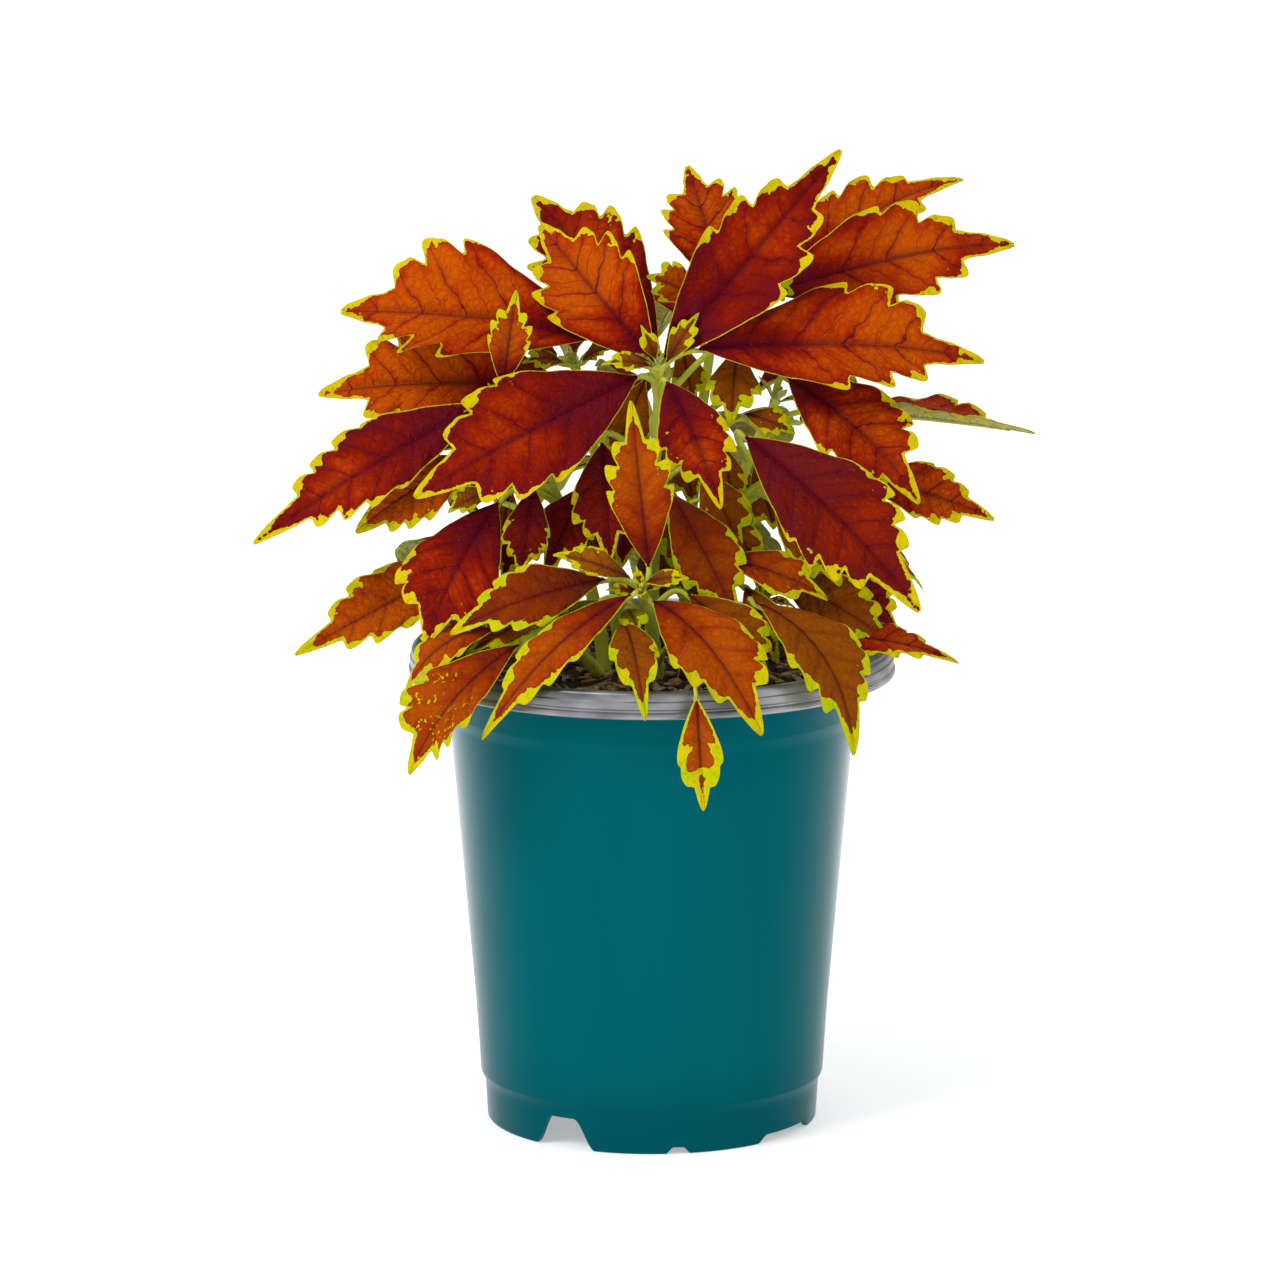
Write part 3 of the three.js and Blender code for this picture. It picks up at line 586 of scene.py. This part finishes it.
def blade_axes(blade):
    """Where a blade starts, its directions along, across and up from its face, and its length."""
    base, tip, _, turn, lean = blade[:5]
    origin = np.array(base, float)
    along = np.array(tip, float) - origin
    length = np.linalg.norm(along)
    along /= length
    turn, lean = math.radians(turn), math.radians(lean)
    front, up = -math.sin(turn) * math.cos(lean), math.cos(turn) * math.cos(lean)
    face = np.array([math.sin(lean), front, up])
    face = unit(face - along * face.dot(along))
    return origin, along, np.cross(along, face), face, length


def envelope(u):
    """The blade's width along its midrib, without teeth, as a share of its widest."""
    return 5.38 * np.power(u, 0.95) * np.power(1 - u, 1.6)


# A tooth from notch to notch: a long rounded rise and a short fall, with one small nick on the
# rise of a large leaf's teeth.
PLAIN_TOOTH = (
    (0.0, 0.05, 0.12, 0.22, 0.34, 0.46, 0.58, 0.68, 0.75, 0.8, 0.85, 0.9, 0.95, 1.0),
    (0.0, 0.1, 0.32, 0.58, 0.78, 0.9, 0.98, 1.0, 0.97, 0.88, 0.66, 0.36, 0.1, 0.0),
)
CUT_TOOTH = (
    (0.0, 0.05, 0.12, 0.22, 0.3, 0.36, 0.46, 0.58, 0.68, 0.75, 0.8, 0.85, 0.9, 0.95, 1.0),
    (0.0, 0.12, 0.36, 0.6, 0.69, 0.68, 0.86, 0.98, 1.0, 0.97, 0.88, 0.64, 0.34, 0.09, 0.0),
)


def notch_factors(teeth, jitter, calm):
    """What each notch leaves of the half width: notches deepen towards the tip."""
    depth = np.linspace(0.62 - 0.42 * calm, 1.12 - 0.2 * calm, teeth) if teeth > 1 else np.ones(1)
    return 1 - TOOTH_DEPTH * depth * (0.85 + 0.3 * jitter)


def tooth_factor(u, teeth, jitter, tooth, calm):
    """Factor on the half width, with main teeth at the solid's places."""
    pitch = TOOTHED / teeth
    number = np.clip(np.floor((u - TEETH_FROM) / pitch), 0, teeth - 1).astype(int)
    share = np.clip((u - TEETH_FROM) / pitch - number, 0, 1)
    share = share + 0.12 * (jitter[number] - 0.5) * np.sin(math.pi * share)
    notches = notch_factors(teeth, jitter, calm)
    notch = notches[number]
    before = np.concatenate([[0.96], notches[:-1]])[number]
    low = np.where(share < TOOTH_PEAK, before, notch)
    factor = low + (TOOTH_REACH * (0.97 + 0.06 * jitter[number]) - low) * np.interp(share, *tooth)
    entire = 0.96 + 0.012 * np.sin(u * 90 + 6 * jitter[0]) * smoothstep(0.03, 0.1, u)
    return np.where(u < TEETH_FROM, entire, factor)


def half_widths(u, width, teeth, jitter, calm):
    """The blade's half width along its midrib, with rounded teeth and a long drawn-out tip."""
    tooth = CUT_TOOTH if width > BROAD and calm < 0.5 else PLAIN_TOOTH
    soft = 0.035 * TOOTHED / teeth
    shifts = (-1.0, -0.4, 0.4, 1.0)
    factor = sum(tooth_factor(u + soft * shift, teeth, jitter, tooth, calm) for shift in shifts) / 4
    half = width / 2 * envelope(u) * factor
    last = width / 2 * envelope(TEETH_TO) * notch_factors(teeth, jitter, calm)[-1]
    left = np.clip((1 - u) / (1 - TEETH_TO), 0, 1)
    small = 0.04 * np.sin(2.2 * 2 * math.pi * left) * left
    tip = last * (left**0.66 + small * (width > BROAD) * (1 - calm))
    half = np.where(u > TEETH_TO + soft, tip, half)
    return np.maximum(half, NECK_HALF * (1 - u / 0.06))


def blade_bow(share, arch):
    """The height of the blade's arch at a share of its length."""
    return 4 * arch * share * (1 - share)


class Growth:
    """Collects the parts of one shoot: points, faces, shading attributes and material numbers."""

    KEYS = ("leaf_flat", "leaf_edge", "leaf_place", "leaf_tone", "leaf_more")

    def __init__(self, seed):
        self.hair_rng = np.random.default_rng(seed + 500)
        self.points, self.faces, self.indices = [], [], []
        self.attributes = {key: [] for key in self.KEYS}
        self.count = 0

    def add(self, points, faces, index, attributes=None):
        points = np.asarray(points).reshape(-1, 3)
        self.points.append(points)
        self.faces.extend([tuple(corner + self.count for corner in face) for face in faces])
        self.indices.extend([index] * len(faces))
        for key in self.KEYS:
            blank = np.zeros_like(points)
            self.attributes[key].append(blank if attributes is None else attributes[key])
        self.count += len(points)

    def piece(self, name, materials):
        attributes = {key: np.concatenate(rows) for key, rows in self.attributes.items()}
        points = np.concatenate(self.points)
        return mesh_object(name, points, self.faces, materials, attributes, self.indices)


def add_tube(growth, line, radii, sides, squareness=0.0):
    """A closed round or softly square tube along a line of points."""
    line = np.asarray(line)
    rings = []
    across = None
    for i, point in enumerate(line):
        along = unit(line[min(i + 1, len(line) - 1)] - line[max(i - 1, 0)])
        if across is None:
            across = np.cross(along, [0, 1, 0] if abs(along[2]) > 0.8 else [0, 0, 1])
        across = unit(across - along * across.dot(along))
        other = np.cross(along, across)
        angle = np.linspace(0, 2 * math.pi, sides, endpoint=False)
        radius = radii[i] * (1 + squareness * np.cos(4 * (angle - math.pi / 4)))
        circle = np.outer(np.cos(angle) * radius, across) + np.outer(np.sin(angle) * radius, other)
        rings.append(point + circle)
    faces = []
    for i in range(len(line) - 1):
        for k in range(sides):
            a, b = i * sides + k, i * sides + (k + 1) % sides
            faces.append((a, b, b + sides, a + sides))
    end = (len(line) - 1) * sides
    faces.append(tuple(range(sides - 1, -1, -1)))
    faces.append(tuple(range(end, end + sides)))
    growth.add(np.concatenate(rings), faces, 1)


def add_hairs(growth, line, radii, count):
    """Fine tapering hairs that stand off a stem or a leaf stalk."""
    rng = growth.hair_rng
    line = np.asarray(line)
    points, faces = [], []
    for _ in range(count):
        place = rng.uniform(0, len(line) - 1.001)
        i = int(place)
        root = line[i] + (line[i + 1] - line[i]) * (place - i)
        along = unit(line[i + 1] - line[i])
        out = rng.normal(size=3)
        out = unit(out - along * out.dot(along))
        side = np.cross(along, out)
        root = root + out * radii[i] * 0.9
        tip = root + (out + along * rng.uniform(-0.3, 0.5)) * rng.uniform(0.45, 0.95)
        first = len(points)
        for angle in (0.0, 2.1, 4.2):
            points.append(root + (along * math.cos(angle) + side * math.sin(angle)) * HAIR_RADIUS)
        points.append(tip)
        faces += [(first, first + 2, first + 1)]
        faces += [(first + k, first + (k + 1) % 3, first + 3) for k in range(3)]
    growth.add(np.array(points), faces, 2)


def sheet_faces(rows, wide):
    """The faces of a thin closed sheet: a grid of points, the same grid below, and its edge."""
    count = (rows + 1) * wide
    faces = []
    for j in range(rows):
        for i in range(wide - 1):
            a = j * wide + i
            faces.append((a, a + wide, a + wide + 1, a + 1))
            faces.append((a + count, a + count + 1, a + count + wide + 1, a + count + wide))
    loop = list(range(wide))
    loop += [j * wide + wide - 1 for j in range(1, rows + 1)]
    loop += [rows * wide + i for i in range(wide - 2, -1, -1)]
    loop += [j * wide for j in range(rows - 1, 0, -1)]
    for k, a in enumerate(loop):
        b = loop[(k + 1) % len(loop)]
        faces.append((a, b, b + count, a + count))
    return faces


def add_blade(growth, blade, axes, rng):
    """One blade, dense enough for its teeth. Returns the line of the midrib below it."""
    width, arch, teeth, tone = blade[2], blade[5], blade[6], blade[7]
    origin, along, across, face, length = axes
    rows = 26 + 16 * teeth
    columns = 9 if width > 15 else 5
    u = np.linspace(0, LAST_ROW, rows + 1)
    v = np.sin(np.linspace(0, math.pi / 2, columns + 1)) ** 1.1
    seed = rng.random()
    calm = float(np.clip((200 - blade[1][2]) / 30, 0, 1))  # low leaves have blunter teeth
    sides = []
    for _ in range(2):
        sides.append((half_widths(u, width, teeth, rng.random(teeth), calm), rng.random()))
    wave = 0.05 * width * (0.5 + rng.random())
    curl = -0.15 + 0.7 * rng.random()
    roll = rng.uniform(-0.25, 0.5, 2)
    fold = rng.uniform(0.0, 0.16) + (blade[8] if len(blade) > 8 else FOLD)
    phase = (u - TEETH_FROM) / (TOOTHED / teeth) - TOOTH_PEAK
    ruffle = -np.cos(2 * math.pi * phase) * smoothstep(0.12, 0.24, u) * smoothstep(0.86, 0.72, u)
    quilt = 0.034 * width * (0.5 - 0.5 * np.cos(4 * math.pi * phase)) * envelope(u)
    peak = smoothstep(0.2, 0.34, u) * (0.5 + 0.5 * np.cos(2 * math.pi * (phase + 0.06)))
    peak = peak * smoothstep(0.8, 0.7, u)
    margin_scale = TONES[tone][3] * (0.5 + 0.5 * min(width / 24, 1.2))
    even = 0.1 + 0.55 * smoothstep(1.3, 1.7, TONES[tone][3])
    margin = margin_scale * (even + 0.35 * smoothstep(0.25, 0.6, u) + 2.1 * peak**1.4)
    margin = margin + margin_scale * 1.1 * smoothstep(0.8, 0.97, u)
    pitch_mm = TOOTHED / teeth * length * 0.78

    grid, flat, edge, place, more = [], [], [], [], []
    for j, uj in enumerate(u):
        for column in range(-columns, columns + 1):
            right = int(column > 0)
            hand = 2 * right - 1
            half, shift = sides[right]
            outward = v[abs(column)]
            reach = half[j] * outward
            run = uj * length + VEIN_SWEEP * reach
            share = run / length
            height = blade_bow(share, arch) + fold * reach
            height += quilt[j] * math.sin(math.pi * min(1.0, outward * 1.05))
            height += RUFFLE * width * envelope(uj) * ruffle[j] * outward**2
            height += wave * math.sin(2 * math.pi * (1.4 * uj + shift)) * outward**2 * envelope(uj)
            height -= roll[right] * half[j] * max(0.0, outward - 0.55) ** 2 * 2
            height -= curl * length * max(0.0, share - CURL_FROM) ** 2
            height -= 0.35 * math.exp(-((reach / 0.8) ** 2))
            grid.append(origin + along * run + across * reach * hand + face * height)
            flat.append((run, hand * reach, seed * 90))
            edge.append(((half[j] - reach) * 0.85, reach, phase[j]))
            place.append((uj, outward, TONES[tone][4]))
            more.append((margin[j], 0.0, pitch_mm))
    grid = np.array(grid)
    wide = 2 * columns + 1
    half_thick = [BLADE_HALF - EDGE_THINNER * v[abs(c)] for c in range(-columns, columns + 1)]
    offset = face * np.array(half_thick * (rows + 1))[:, None]
    more = np.array(more)
    attributes = {
        "leaf_flat": np.array(flat + flat),
        "leaf_edge": np.array(edge + edge),
        "leaf_place": np.array(place + place),
        "leaf_tone": np.tile(TONES[tone][:3], (2 * len(grid), 1)),
        "leaf_more": np.concatenate([more, more + (0, 1, 0)]),
    }
    sheet = np.concatenate([grid + offset, grid - offset])
    growth.add(sheet, sheet_faces(rows, wide), 0, attributes)
    rib_share = np.linspace(0.0, 0.88, RIB_RINGS)
    drop = curl * length * np.maximum(0.0, rib_share - CURL_FROM) ** 2
    rise = blade_bow(rib_share, arch) - drop - 0.6 - rib_radii(width)
    return origin + np.outer(rib_share * length, along) + np.outer(rise, face)


def rib_radii(width):
    """The midrib's radius under the blade, from the stalk to near the tip."""
    return np.linspace(0.7, 0.16, RIB_RINGS) * min(1.0, 0.55 + width / 50)


def stem_point(stem, share):
    """The stem's middle line: a curve from its foot, past its bend, to its tip."""
    bottom, bend, top = stem
    return (1 - share) ** 2 * bottom + 2 * share * (1 - share) * bend + share**2 * top


def add_leaf(growth, stem, blade, rng):
    """A blade with its midrib, and a stalk that curves from the stem into the midrib."""
    axes = blade_axes(blade)
    origin, along, _, face, _ = axes
    bottom, _, top = stem
    away = math.hypot(origin[0] - top[0], origin[1] - top[1])
    node = min(max(origin[2] - 0.55 * away, SOIL_TOP + 4), top[2] - 1)
    start = stem_point(stem, (node - bottom[2]) / (top[2] - bottom[2]))
    gap = np.linalg.norm(origin - start)
    bend = origin - along * 0.45 * gap
    rib = add_blade(growth, blade, axes, rng)
    t = np.linspace(0, 1, STALK_RINGS + 1)[:-1, None]
    stalk = (1 - t) ** 2 * start + 2 * t * (1 - t) * (bend - face * 0.4) + t**2 * rib[0]
    ribs = rib_radii(blade[2])
    line = np.concatenate([stalk, rib])
    radii = np.concatenate([np.linspace(1.6, 1.15, STALK_RINGS) * ribs[0], ribs])
    radii[0] *= 1.4
    add_tube(growth, line, radii, 8)
    add_hairs(growth, line[: STALK_RINGS + 3], radii, 14 + int(STALK_HAIRS * gap))


def add_bud(growth, stem, rng, size):
    """Opposite pairs of unfolding leaves at the growing tip, each pair turned from the last."""
    top = stem[2]
    axis = unit(top - stem[1])
    side = unit(np.cross(axis, [0.3, 1.0, 0.1]))
    for pair, (degrees, length) in enumerate(BUD_PAIRS):
        turn = pair * math.pi / 2 + 0.4
        out = math.cos(turn) * side + math.sin(turn) * np.cross(axis, side)
        spread = math.radians(degrees)
        length *= size
        for sign in (-1, 1):
            direction = axis * math.cos(spread) + out * sign * math.sin(spread)
            base = top - axis * 0.6 + direction * 0.8
            face = unit(axis - direction * axis.dot(direction) + 1e-6 * out)
            turn_deg = math.degrees(math.atan2(-face[1], face[2]))
            lean_deg = math.degrees(math.asin(max(-1.0, min(1.0, face[0]))))
            tip = base + direction * length
            blade = (base, tip, length * 0.42, turn_deg, lean_deg, 0.4, 2, "young")
            add_blade(growth, blade, blade_axes(blade), rng)


def make_shoot(name, shoot, materials, seed):
    """One shoot as one piece: a jointed stem with hairs, its leaves and its growing tip."""
    rng = np.random.default_rng(seed)
    growth = Growth(seed)
    foot, tip, blades = shoot
    bottom = np.array([foot[0], foot[1], STEM_FOOT])
    top = np.array(tip, float)
    stem = (bottom, np.array([foot[0], foot[1], (STEM_FOOT + top[2]) / 2]), top)
    shares = np.linspace(0, 1, 40)
    line = [stem_point(stem, share) for share in shares]
    height = top[2] - STEM_FOOT
    joints = 0.1 * np.maximum(0, np.cos(shares * height / JOINT_SPACING * 2 * math.pi)) ** 8
    radii = (STEM_HALF + (STEM_TIP_HALF - STEM_HALF) * shares) * (1.12 + joints)
    add_tube(growth, line, radii, 16, 0.07)
    add_hairs(growth, line[5:], radii[5:], int(STEM_HAIRS * height))
    for blade in blades:
        add_leaf(growth, stem, blade, rng)
    add_bud(growth, stem, rng, 0.7 + 0.5 * rng.random())
    piece = growth.piece("leafy_" + name, materials)
    piece.data.set_sharp_from_angle(angle=math.radians(50))
    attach(piece, "root")
    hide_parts(name)


# ------------ pot


def arc(x, z, radius, start, end, steps):
    """Points of a round edge in the pot's section, angles in degrees from outward to up."""
    turns = [math.radians(a) for a in np.linspace(start, end, steps)]
    return [(x + radius * math.cos(a), z + radius * math.sin(a)) for a in turns]


def ring(radius, z):
    """The points of a circle about the pot's axis, from the front to the right and round."""
    turns = [2 * math.pi * k / POT_SIDES for k in range(POT_SIDES)]
    return [(radius * math.sin(a), -radius * math.cos(a), z) for a in turns]


def foot_cutter(degrees, half_width, height, slope):
    """A prism with softly curved sides that cuts one opening of the foot ring."""
    side = []
    for step in range(13):
        rise = height * (1 - math.cos(math.pi * step / 12)) / 2
        side.append((half_width - slope * step / 12, rise))
    outline = [(-half_width, -2.0), (half_width, -2.0)]
    outline += side + [(-x, z) for x, z in reversed(side)]
    bm = bmesh.new()
    near = [bm.verts.new((x * MM, -(FOOT_RADIUS - 8) * MM, z * MM)) for x, z in outline]
    far = [bm.verts.new((x * MM, -(FOOT_RADIUS + 6) * MM, z * MM)) for x, z in outline]
    bm.faces.new(near)
    bm.faces.new(list(reversed(far)))
    for k in range(len(near)):
        n = (k + 1) % len(near)
        bm.faces.new((near[k], far[k], far[n], near[n]))
    bmesh.ops.recalc_face_normals(bm, faces=bm.faces)
    bmesh.ops.rotate(bm, verts=bm.verts, matrix=Matrix.Rotation(math.radians(degrees), 3, "Z"))
    return bmesh_object("cutter", bm)


def around(radius, z, *offsets):
    """Points of the pot's section, as offsets from one of its corners."""
    return [(radius + out, z + up) for out, up in offsets]


def pot_section():
    """The pot's wall as (radius, z), from the floor's middle round the rim and back inside."""
    skirt = POT_HEIGHT - RIM_BAND
    inner = SHOULDER_RADIUS - WALL
    return [
        # the floor's underside and the foot ring
        (0.0, FLOOR),
        (FOOT_RADIUS - 1.8, FLOOR),
        *arc(FOOT_RADIUS - 1.9, FLOOR - 1.0, 0.9, 90, 0, 4),
        *around(FOOT_RADIUS, 0.0, (-1.6, 0), (-0.5, 0)),
        *arc(FOOT_RADIUS - 0.6, 0.6, 0.6, -80, 0, 4),
        *around(FOOT_RADIUS, STEP_Z, (0.5, -4.4), (0.7, -2.4), (1.0, -1.5)),
        (STEP_RADIUS - 0.4, STEP_Z - 0.5),
        *arc(STEP_RADIUS - 0.8, STEP_Z + 0.5, 0.8, -40, 0, 3),
        # the wall and its shoulder
        (STEP_RADIUS + 0.45, STEP_Z + 8),
        (WAIST_RADIUS, WAIST_Z),
        *around(SHOULDER_RADIUS, SHOULDER_Z, (-0.05, -1.5), (0.2, 0), (1.3, 2.2), (1.6, 3.2)),
        *around(SHOULDER_RADIUS, SHOULDER_Z, (1.8, 6), (2.0, 6.4)),
        *around(SHOULDER_RADIUS, skirt, (2.4, 0), (4, 3.4)),
        # the rim and its hanging band
        *around(RIM_RADIUS, skirt, (-1.6, 5.2), (-1.2, 0.5)),
        *arc(RIM_RADIUS - 0.6, skirt + 0.5, 0.6, 180, 360, 9),
        *around(RIM_RADIUS, skirt, (0, 1.0), (-0.15, 1.5), (-0.75, 1.9), (-0.75, 2.3)),
        *around(RIM_RADIUS, skirt, (-0.35, 2.8), (-0.45, 4.6), (-0.8, 5.0)),
        *arc(RIM_RADIUS - 2.2, POT_HEIGHT - 1.4, 1.4, 10, 100, 8),
        # back down inside
        (RIM_RADIUS - 3.4, POT_HEIGHT - 0.2),
        *around(inner, POT_HEIGHT, (4.4, -2.4), (3.2, -4.2), (2.6, -6.6)),
        *around(inner, SHOULDER_Z, (1.8, 4), (0, 0)),
        (WAIST_RADIUS - WALL, WAIST_Z),
        (STEP_RADIUS - WALL, STEP_Z),
        (STEP_RADIUS - WALL - 1.6, FLOOR + WALL),
        (0.0, FLOOR + WALL),
    ]


def make_pot(teal, silver):
    """The pot turned from its section, with the openings cut out of its foot ring."""
    bm = bmesh.new()
    rings = []
    for radius, z in pot_section():
        points = ring(radius, z) if radius else [(0, 0, z)]
        rings.append([bm.verts.new([value * MM for value in point]) for point in points])
    for low, high in zip(rings, rings[1:]):
        for k in range(POT_SIDES):
            n = (k + 1) % POT_SIDES
            if len(low) == 1:
                bm.faces.new((low[0], high[n], high[k]))
            elif len(high) == 1:
                bm.faces.new((low[k], low[n], high[0]))
            else:
                bm.faces.new((low[k], low[n], high[n], high[k]))
    bmesh.ops.recalc_face_normals(bm, faces=bm.faces)
    pot = bmesh_object("nursery_pot", bm)
    cutters = [foot_cutter(turn + at, *sizes) for turn in (0, 180) for at, *sizes in NOTCHES]
    for cutter in cutters:
        cut = pot.modifiers.new("cut", "BOOLEAN")
        cut.operation = "DIFFERENCE"
        cut.solver = "EXACT"
        cut.object = cutter
    cut_pot = pot.evaluated_get(bpy.context.evaluated_depsgraph_get())
    cut_mesh = bpy.data.meshes.new_from_object(cut_pot)
    pot.modifiers.clear()
    pot.data = cut_mesh
    for cutter in cutters:
        bpy.data.objects.remove(cutter)
    cut_mesh.materials.clear()
    cut_mesh.materials.append(teal)
    cut_mesh.materials.append(silver)
    skirt = (POT_HEIGHT - RIM_BAND) * MM
    for polygon in cut_mesh.polygons:
        centre = polygon.center
        radius = math.hypot(centre.x, centre.y)
        rim = centre.z > skirt - 0.5 * MM and radius > (SHOULDER_RADIUS + 2.6) * MM
        facing_in = polygon.normal.x * centre.x + polygon.normal.y * centre.y < 0
        inside = centre.z > (SHOULDER_Z + 1) * MM and facing_in
        polygon.material_index = int(rim or inside)
        polygon.use_smooth = True
    cut_mesh.set_sharp_from_angle(angle=math.radians(35))
    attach(pot, "root")
    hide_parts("pot")


# ------------ soil


def soil_height(x, y):
    """The soil's uneven top, in millimetres."""
    inward = np.clip((56 - np.hypot(x, y)) / 10, 0, 1)
    mounds = 0.9 * np.sin(x / 7) * np.cos(y / 9) - 0.4
    crumbs = 0.35 * np.sin(x * 1.9 + 2 * np.sin(y * 0.8)) * np.cos(y * 1.7 + 1.5 * np.sin(x * 0.9))
    return SOIL_TOP + inward * mounds + 0.5 * crumbs


def make_soil(earth):
    """The potting mix: its crumbly top, and the sides hidden by the pot."""
    inner = SHOULDER_RADIUS - WALL - SOIL_GAP
    points = [(0.0, 0.0, float(soil_height(0.0, 0.0)))]
    for number in range(1, SOIL_RINGS + 1):
        radius = (inner + 1.4) * number / SOIL_RINGS
        points += [(x, y, float(soil_height(x, y))) for x, y, _ in ring(radius, 0.0)]
    walls = [
        (inner + 2.1, SOIL_TOP - 2),
        (inner + 1.7, SHOULDER_Z + 4.2),
        (inner, SHOULDER_Z),
        (WAIST_RADIUS - WALL - SOIL_GAP, WAIST_Z),
        (STEP_RADIUS - WALL - SOIL_GAP, STEP_Z + 0.2),
        (STEP_RADIUS - WALL - 1.9, FLOOR + WALL + SOIL_GAP),
    ]
    for radius, z in walls:
        points += ring(radius, z)
    sides = POT_SIDES
    faces = [(1 + k, 1 + (k + 1) % sides, 0) for k in range(sides)]
    last = 1 + (SOIL_RINGS + len(walls) - 1) * sides
    for first in range(1, last, sides):
        for k in range(sides):
            a, b = first + k, first + (k + 1) % sides
            faces.append((a, a + sides, b + sides, b))
    faces.append(tuple(last + k for k in range(sides - 1, -1, -1)))
    soil = mesh_object("potting_soil", points, faces, [earth])
    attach(soil, "root")
    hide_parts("soil")


def make_chips(name, material, count, sizes, seed, stand):
    """Loose bits on the soil, as lumpy closed grains: the sizes give the ranges of their half
    length, width and thickness, and stand how far they lie above it, in half thicknesses."""
    rng = np.random.default_rng(seed)
    bm = bmesh.new()
    for _ in range(count):
        grain = bmesh.ops.create_icosphere(bm, subdivisions=2, radius=1.0)["verts"]
        long, wide, thick = (rng.uniform(low, high) for low, high in sizes)
        shift = rng.uniform(-1, 1, 3) * 3
        for vert in grain:
            p = vert.co.normalized()
            lump = 1 + 0.22 * math.sin(3.1 * p.x + shift[0]) * math.cos(2.7 * p.y + shift[1])
            lump += 0.12 * math.sin(5.3 * p.z + shift[2])
            corner = max(abs(p.x), abs(p.y), abs(p.z)) ** -0.55
            vert.co = Vector((p.x * long, p.y * wide, p.z * thick)) * lump * corner * MM
        radius = CHIPS_REACH * math.sqrt(rng.random())
        turn = rng.uniform(0, 2 * math.pi)
        x, y = radius * math.cos(turn), radius * math.sin(turn)
        z = float(soil_height(x, y)) + thick * stand
        tilt = Matrix.Rotation(rng.normal(0, 0.3), 3, "X")
        tilt = tilt @ Matrix.Rotation(rng.normal(0, 0.3), 3, "Y")
        spin = Matrix.Rotation(rng.uniform(0, 2 * math.pi), 3, "Z")
        bmesh.ops.transform(bm, matrix=(spin @ tilt).to_4x4(), verts=grain)
        bmesh.ops.translate(bm, verts=grain, vec=Vector((x, y, z)) * MM)
    piece = bmesh_object(name, bm)
    piece.data.materials.append(material)
    piece.data.shade_smooth()
    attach(piece, "root")


# ------------ studio


def make_studio():
    world = bpy.data.worlds.new("studio")
    bpy.context.scene.world = world
    world.use_nodes = True
    background = world.node_tree.nodes["Background"].inputs
    background["Color"].default_value = (1, 1, 1, 1)
    background["Strength"].default_value = 0.62
    corners = [(-6000, -6000, 0), (6000, -6000, 0), (6000, 9000, 0), (-6000, 9000, 0)]
    floor = mesh_object("studio_floor", corners, [(0, 1, 2, 3)], [floor_material()])
    lights = [  # name, place, size and power in watts
        ("key", (-1.3, -1.15, 1.8), 1.0, 25.0),
        ("fill", (1.4, -1.3, 0.8), 1.2, 3.0),
        ("back", (0.4, 1.6, 1.4), 1.2, 7.0),
    ]
    for name, place, size, power in lights:
        light = bpy.data.lights.new(name, "AREA")
        light.shape = "SQUARE"
        light.size = size
        light.energy = power
        lamp = link(name, light)
        lamp.location = place
        aim = Vector((0, 0, 0.16)) - Vector(place)
        lamp.rotation_euler = aim.to_track_quat("-Z", "Y").to_euler()


def make_camera():
    """The photograph's view: from the front, a little above, with a long lens."""
    distance, elevation = 2.2, math.radians(11.4)
    aim = Vector((-0.0034, 0.0, 0.138))
    data = bpy.data.cameras.new("camera")
    data.sensor_width = 36.0
    data.lens = 218.4
    data.clip_end = 50.0
    camera = link("camera", data)
    camera.location = aim + Vector((0, -math.cos(elevation), math.sin(elevation))) * distance
    camera.rotation_euler = (math.radians(90) - elevation, 0, 0)
    bpy.context.scene.camera = camera


# ------------ the whole

bpy.context.scene.view_settings.view_transform = "Standard"
make_camera()
make_studio()
make_pot(pot_material(), rim_material())
make_soil(earth_material())
BARK = [(1.2, 3.6), (0.8, 1.8), (0.35, 0.8)]
CRUMB = [(0.5, 1.3), (0.5, 1.1), (0.4, 0.9)]
FIBRE = [(2.5, 6.0), (0.18, 0.35), (0.15, 0.3)]
PERLITE = [(0.8, 1.7), (0.7, 1.4), (0.6, 1.2)]
bark = chip_material("bark_chips", (0.15, 0.085, 0.042, 1), (0.62, 0.42, 0.24, 1))
peat = chip_material("peat_crumbs", (0.012, 0.007, 0.004, 1), (0.07, 0.038, 0.02, 1))
straw = chip_material("plant_fibres", (0.3, 0.18, 0.08, 1), (0.6, 0.42, 0.22, 1))
white = chip_material("perlite_grains", (0.5, 0.48, 0.44, 1), (0.78, 0.77, 0.74, 1))
make_chips("soil_bark_chips", bark, 240, BARK, 11, 0.5)
make_chips("soil_peat_crumbs", peat, 420, CRUMB, 12, 0.3)
make_chips("soil_fibres", straw, 70, FIBRE, 13, 0.8)
make_chips("soil_perlite", white, 26, PERLITE, 14, 0.4)
shared = [leaf_material(), stem_material(), hair_material()]
for number, (name, shoot) in enumerate(SHOOTS.items()):
    make_shoot(name, shoot, shared, 40 + number)
